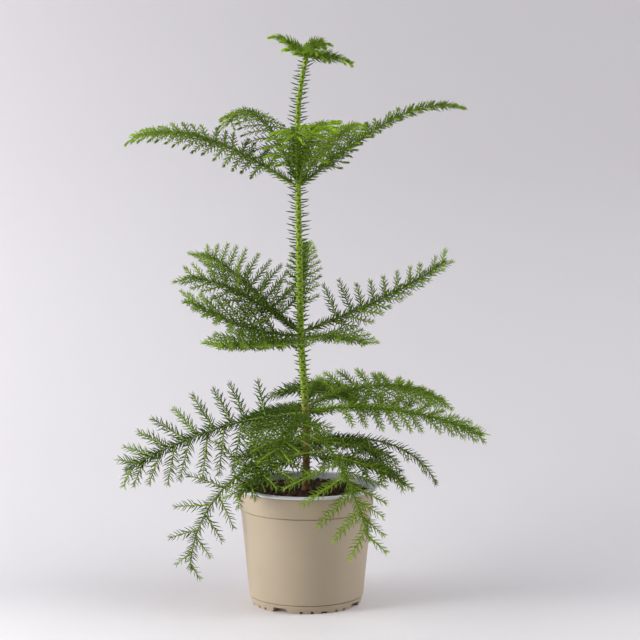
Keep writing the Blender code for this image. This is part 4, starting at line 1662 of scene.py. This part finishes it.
# ==================================================================== foliage
@dataclass
class Pine:
    """The whole plant above the soil: stem, boughs, twigs and needles.

    `bough_youth` and `twig_youth` are how young a bough's and a twig's needles are beside the
    whorl's, at a bough's foot and past it for twigs. `stem_needles` gives the length of the
    stem's needles at some heights. The seats are how far into its limb a part starts.
    """

    stem: Stem
    pot: NurseryPot
    rule: TwigRule = TwigRule()
    bough_sides: int = 8
    bough_ring_pitch: float = 0.0016
    bough_cushions: Cushions = Cushions(pitch=0.0010, depth=0.00035)
    bough_pitch_share: float = 0.62
    bough_youth: float = 0.6
    bough_bare: float = 0.03
    bough_seat: float = 0.6
    twig_youth: tuple[float, float] = (0.35, 1.3)
    twig_shoot: float = 0.45
    twig_least: int = 3
    margin: float = 0.001
    stem_needles: tuple[tuple[float, float], ...] = (
        (0.16, 0.0045), (0.24, 0.0062), (0.31, 0.0090),
        (0.37, 0.0128), (0.56, 0.0120), (0.64, 0.0100),
    )
    stem_seed: int = 11
    stem_bare: int = 4
    stem_turn_jitter: float = 0.12
    stem_rise: tuple[float, float] = (0.04, 0.12)
    stem_length_range: tuple[float, float] = (0.78, 1.08)
    stem_seat: float = 0.85
    stem_curl: float = 0.20

    def keep(self, placed: np.ndarray) -> np.ndarray:
        """Which needles stay inside the part's box and clear of the pot."""
        low, high = (np.array(corner) for corner in CAD_BOX)
        inside = ((placed > low - self.margin) & (placed < high + self.margin)).all((1, 2))
        return inside & ~self.pot.holds(placed).any(1)

    def nodes_of(self, label: str, kinds: Sequence[str]) -> list[str]:
        """The names of a whorl's solids of some kinds."""
        starts = tuple(f"{kind}_{label}_" for kind in kinds)
        return sorted(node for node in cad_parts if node.startswith(starts))

    def build(self, bark: bpy.types.Material, twig_skin: bpy.types.Material) -> None:
        """Grows every whorl, then the needles on the stem."""
        for label, whorl in WHORLS.items():
            self.build_whorl(label, whorl, bark, twig_skin)
        self.build_stem_needles()

    def build_whorl(
        self, label: str, whorl: Whorl, bark: bpy.types.Material, twig_skin: bpy.types.Material
    ) -> None:
        """Grows one whorl's boughs, twigs and needles.

        Args:
            label: the whorl's name.
            whorl: its boughs.
            bark: the finish of the boughs.
            twig_skin: the finish of the twigs.
        """
        limbs = bmesh.new()
        limbs.verts.layers.float.new("cushion")
        fronds = self.nodes_of(label, ["frond"])
        coat = NeedleCoat(label, "needles", fronds, self.keep, whorl.girth)
        twig_axes: list[Axis] = []
        for bough in whorl.boughs:
            name = f"{label}_{bough.name}"
            line = BoughLine(self.stem, whorl, bough)
            start = self.stem.radius(whorl.height) * self.bough_seat / bough.length
            count = max(8, int(bough.length / self.bough_ring_pitch))
            shares = [start + (1.0 - start) * i / count for i in range(count + 1)]
            centres = [line.at(s) for s in shares]
            radii = [line.radius(s) for s in shares]
            sweep_limb(limbs, centres, radii, self.bough_sides, self.bough_cushions)
            coat.clothe(self.bough_axis(centres, radii, line, whorl), name)
            for i, (share, points) in enumerate(self.rule.twigs(line, whorl, name)):
                twig = self.twig_axis(points, line, whorl, share)
                if twig is not None:
                    twig_axes.append(twig)
                    coat.clothe(twig, f"{name} {i}")
        piece = show(f"boughs_{label}", mesh_of(limbs, f"boughs_{label}"), bark)
        own(piece, self.nodes_of(label, ["bough", "frond"]))
        LOG.info("%s: %d faces", piece.name, len(piece.data.polygons))
        self.build_twigs(label, twig_axes, twig_skin)
        coat.build()

    def bough_axis(
        self, centres: list[Vector], radii: list[float], line: BoughLine, whorl: Whorl
    ) -> Axis:
        """The axis of a bough's own needles.

        Args:
            centres: the bough's centre line.
            radii: its radii.
            line: the line that it was grown from.
            whorl: its whorl.

        Returns:
            The axis.
        """
        bough = line.bough
        return Axis(
            points=np.array([p[:] for p in centres]),
            radii=np.array(radii),
            normal=np.array(line.normal(0.5)),
            needle=whorl.needle * bough.short / math.sqrt(bough.sparse),
            # bough.pale adds painted light and shade to the tints, beside their growth.
            youth=whorl.youth * self.bough_youth + bough.pale,
            fresh=bough.fresh,
            shoot=whorl.shoot * (1.0 + bough.fresh),
            pitch=whorl.pitch * bough.sparse * self.bough_pitch_share,
            bare=self.bough_bare,
        )

    def twig_axis(
        self, points: list[Vector], line: BoughLine, whorl: Whorl, share: float
    ) -> Axis | None:
        """The axis of a twig, cut short where it would meet the pot.

        Args:
            points: the twig's centre line.
            line: its bough's centre line.
            whorl: its whorl.
            share: where it leaves its bough.

        Returns:
            The axis, or None where too little of it is left.
        """
        placed = np.array([p[:] for p in points])
        hit = self.pot.holds(placed)
        if hit.any():
            placed = placed[: int(np.argmax(hit))]
        if len(placed) < self.twig_least:
            return None
        bough = line.bough
        at_foot, gain = self.twig_youth
        opened = self.twig_shoot + (1.0 - self.twig_shoot) * share
        return Axis(
            points=placed,
            radii=np.linspace(self.rule.foot_radius, self.rule.tip_radius, len(placed)),
            normal=np.array(line.normal(share)),
            needle=whorl.needle * bough.short / math.sqrt(bough.sparse),
            # bough.pale adds painted light and shade to the tints, beside their growth.
            youth=whorl.youth * (at_foot + gain * share**2) + bough.pale,
            fresh=bough.fresh,
            shoot=whorl.shoot * (1.0 + bough.fresh) * opened,
            pitch=whorl.pitch * bough.sparse,
        )

    def build_twigs(self, label: str, axes: list[Axis], skin: bpy.types.Material) -> None:
        """Makes a whorl's twigs as one bevelled curve, turned into a mesh.

        Args:
            label: the whorl's name.
            axes: the twigs' centre lines and radii.
            skin: their finish.
        """
        curve = bpy.data.curves.new(f"twigs_{label}", "CURVE")
        curve.dimensions = "3D"
        curve.bevel_depth = 1.0
        curve.bevel_resolution = 1
        curve.use_fill_caps = True
        for axis in axes:
            spline = curve.splines.new("POLY")
            spline.points.add(len(axis.points) - 1)
            weights = np.ones((len(axis.points), 1))
            spline.points.foreach_set("co", np.hstack([axis.points, weights]).ravel())
            spline.points.foreach_set("radius", axis.radii)
        holder = add(f"twigs_{label}", curve)
        mesh = evaluated(holder)
        bpy.data.objects.remove(holder)
        mesh.shade_smooth()
        piece = show(f"twigs_{label}", mesh, skin)
        own(piece, self.nodes_of(label, ["frond"]))
        LOG.info("%s: %d faces", piece.name, len(mesh.polygons))

    def build_stem_needles(self) -> None:
        """Sets a needle on each of the stem's cushions, standing straight out."""
        coat = NeedleCoat(
            "trunk", "needles", ["trunk"], self.keep, width=0.132, least_width=0.0015, flatness=1.30
        )
        rng = np.random.default_rng(self.stem_seed)
        top = self.stem.way[-1].z
        count = int((top - self.stem.foot) / self.stem.cushions.pitch)
        order = np.arange(self.stem_bare, count - 1)
        height = self.stem.foot + order * self.stem.cushions.pitch
        jitter = self.stem_turn_jitter
        turn = order * GOLDEN_ANGLE + rng.uniform(-jitter, jitter, len(order))
        centre = np.array([self.stem.at(h)[:] for h in height])
        radius = np.array([self.stem.radius(h) for h in height])
        out = np.stack([np.cos(turn), np.sin(turn), np.zeros(len(turn))], 1)
        ways = out.copy()
        ways[:, 2] = rng.normal(*self.stem_rise, len(order))
        lengths = np.interp(height, *zip(*self.stem_needles))
        lengths *= rng.uniform(*self.stem_length_range, len(order))
        rise = np.tile(np.array(UP), (len(order), 1))
        feet = centre + out * (radius * self.stem_seat)[:, None]
        placed = coat.place(feet, ways, rise, lengths, self.stem_curl)
        for i, tone in enumerate((Tone.SHADE, Tone.DEEP, Tone.SHADE)):
            coat.store(tone, placed[order % 3 == i])
        coat.build()


# ===================================================================== studio
@dataclass
class Softbox:
    """One soft light: where it hangs, where it faces, how large and how strong it is."""

    name: str
    place: Vector
    target: Vector
    size: tuple[float, float]
    power: float
    colour: Colour = (1.0, 1.0, 1.0)

    def hang(self) -> bpy.types.Object:
        """Hangs the light.

        Returns:
            The light's object.
        """
        light = bpy.data.lights.new(self.name, "AREA")
        light.shape = "RECTANGLE"
        light.size, light.size_y = self.size
        light.energy = self.power
        light.color = self.colour
        made = add(self.name, light)
        made.location = self.place
        made.rotation_euler = (self.target - self.place).to_track_quat("-Z", "Y").to_euler()
        return made


@dataclass
class Studio:
    """The pale sweep that the pot stands on, the soft lights and the camera."""

    paper: StudioPaper = StudioPaper(
        "studio_paper",
        floor=(0.870, 0.848, 0.878),
        # bend, wall and high: painted shade, darker tones of the floor's paper.
        bend=(0.755, 0.737, 0.772),
        wall=(0.745, 0.724, 0.760),
        high=(0.655, 0.635, 0.664),
    )
    reach: float = 3.4
    bend_start: float = 0.12
    bend_radius: float = 0.50
    bend_pieces: int = 24
    height: float = 2.6
    aim: Vector = Vector((0.0, 0.0, 0.35))
    room_light: float = 0.02
    room_tint: Colour = (1.0, 0.99, 0.98)
    past_paper: Colour = (0.600, 0.590, 0.610)
    camera_place: Vector = Vector((0.0162, -2.5, 0.622))
    camera_pitch_deg: float = 6.51
    lens: float = 120.54
    sensor_width: float = 36.0
    sight: float = 50.0

    def build(self) -> None:
        """Lays the floor and the backdrop that it curves up into, and the floor behind them."""
        line = [(-self.reach, 0.0), (self.bend_start, 0.0)]
        for k in range(1, self.bend_pieces + 1):
            turn = math.pi / 2 * k / self.bend_pieces
            line.append((
                self.bend_start + self.bend_radius * math.sin(turn),
                self.bend_radius * (1.0 - math.cos(turn)),
            ))
        line.append((self.bend_start + self.bend_radius, self.height))
        paper = self.paper.material()
        self.sheet("studio_sweep", line, paper)
        self.sheet("studio_floor", [(self.bend_start, 0.0), (self.reach, 0.0)], paper)

    def sheet(
        self, name: str, line: list[tuple[float, float]], paper: bpy.types.Material
    ) -> bpy.types.Object:
        """Spans a sheet of paper across the studio.

        Args:
            name: its name.
            line: its points from front to back, as Y and Z.
            paper: its finish.

        Returns:
            The sheet, facing up and forwards.
        """
        made = bmesh.new()
        verts = [made.verts.new((-self.reach, y, z)) for y, z in line]
        edges = [made.edges.new(pair) for pair in zip(verts, verts[1:])]
        grown = bmesh.ops.extrude_edge_only(made, edges=edges)["geom"]
        moved = [g for g in grown if isinstance(g, bmesh.types.BMVert)]
        bmesh.ops.translate(made, verts=moved, vec=(self.reach * 2, 0.0, 0.0))
        bmesh.ops.recalc_face_normals(made, faces=made.faces)
        if min(face.normal.z for face in made.faces) < -0.5:
            bmesh.ops.reverse_faces(made, faces=made.faces)
        piece = show(name, mesh_of(made, name), paper)
        return piece

    def lights(self) -> None:
        """Hangs the soft lights and lights the room."""
        for name, place, size, power in (
            ("key_left", (-1.6, -0.7, 1.2), (0.6, 1.4), 3.5),
            ("low_left", (-1.5, -0.6, 0.7), (0.7, 0.9), 18.5),
            ("edge_left", (-1.9, 0.15, 1.3), (0.8, 1.6), 15.0),
            ("edge_right", (1.9, 0.15, 1.1), (0.8, 1.5), 9.0),
            ("top_right", (1.2, -0.4, 2.2), (1.6, 1.6), 21.0),
            ("fill_right", (2.2, -0.5, 0.9), (0.9, 1.5), 3.5),
        ):
            Softbox(name, Vector(place), self.aim, size, power).hang()
        self.room()
        bpy.context.scene.view_settings.view_transform = "Standard"

    def room(self) -> None:
        """Sets the room's faint light, and the pale tone that shows past the paper's edges."""
        world = bpy.data.worlds.new("room")
        world.use_nodes = True
        tree = world.node_tree
        glow = tree.nodes["Background"]
        glow.inputs["Color"].default_value = (*self.room_tint, 1.0)
        glow.inputs["Strength"].default_value = self.room_light
        past = tree.nodes.new("ShaderNodeBackground")
        past.inputs["Color"].default_value = (*self.past_paper, 1.0)
        seen = tree.nodes.new("ShaderNodeLightPath").outputs["Is Camera Ray"]
        pick = tree.nodes.new("ShaderNodeMixShader")
        for socket, source in zip(pick.inputs, (seen, glow.outputs[0], past.outputs[0])):
            tree.links.new(source, socket)
        tree.links.new(pick.outputs[0], tree.nodes["World Output"].inputs["Surface"])
        bpy.context.scene.world = world

    def camera(self) -> bpy.types.Object:
        """Sets up the camera.

        Returns:
            The camera's object.
        """
        data = bpy.data.cameras.new("studio_camera")
        data.lens = self.lens
        data.sensor_width = self.sensor_width
        data.clip_end = self.sight
        made = add("studio_camera", data)
        made.location = self.camera_place
        made.rotation_euler = (math.radians(90.0 - self.camera_pitch_deg), 0.0, 0.0)
        bpy.context.scene.camera = made
        return made


NEEDLE_SKINS: dict[Tone, bpy.types.Material] = {
    tone: NeedleSkin(f"needle_{tone.label}", tone.colour).material() for tone in Tone
}


def main() -> None:
    """Builds the studio, the pot, the potting mix and the pine."""
    studio = Studio()
    studio.camera()
    studio.build()
    studio.lights()
    LOG.info("studio: ready")

    pot = NurseryPot()
    beige = MouldedPlastic(
        "beige_plastic", colour=(0.520, 0.428, 0.305), dust=(0.495, 0.405, 0.288)
    )
    pale = MouldedPlastic(
        "pale_plastic", colour=(0.74, 0.75, 0.78), dust=(0.70, 0.71, 0.74), roughness=0.30
    )
    pot.build(beige.material(), pale.material())
    LOG.info("pot: ready")
    peat = PeatMix("peat", dark=(0.012, 0.006, 0.004), light=(0.060, 0.024, 0.016))
    crumb = PeatMix("bark_crumbs", dark=(0.045, 0.018, 0.012), light=(0.150, 0.062, 0.040))
    PottingMix().build(pot, peat.material(), crumb.material())
    LOG.info("potting mix: ready")

    stem = Stem()
    bark = GreenBark(
        "stem_bark",
        cushion=(0.400, 0.590, 0.018),
        # groove: painted shade between the leaf cushions.
        groove=(0.090, 0.160, 0.010),
        brown=(0.210, 0.090, 0.030),
        brown_below=0.215,
        green_above=0.295,
    )
    stem.build(bark.material())
    LOG.info("trunk: ready")
    bough_bark = GreenBark(
        "bough_bark",
        cushion=(0.270, 0.400, 0.030),
        # groove: painted shade between the leaf cushions.
        groove=(0.130, 0.220, 0.020),
        brown=(0.140, 0.110, 0.030),
        brown_below=0.0,
        green_above=0.001,
    )
    twig_skin = YoungTwig(
        "twig_skin", colour=(0.400, 0.560, 0.030), shade=(0.270, 0.410, 0.022)
    )
    Pine(stem, pot).build(bough_bark.material(), twig_skin.material())


if __name__ == "__main__":
    main()
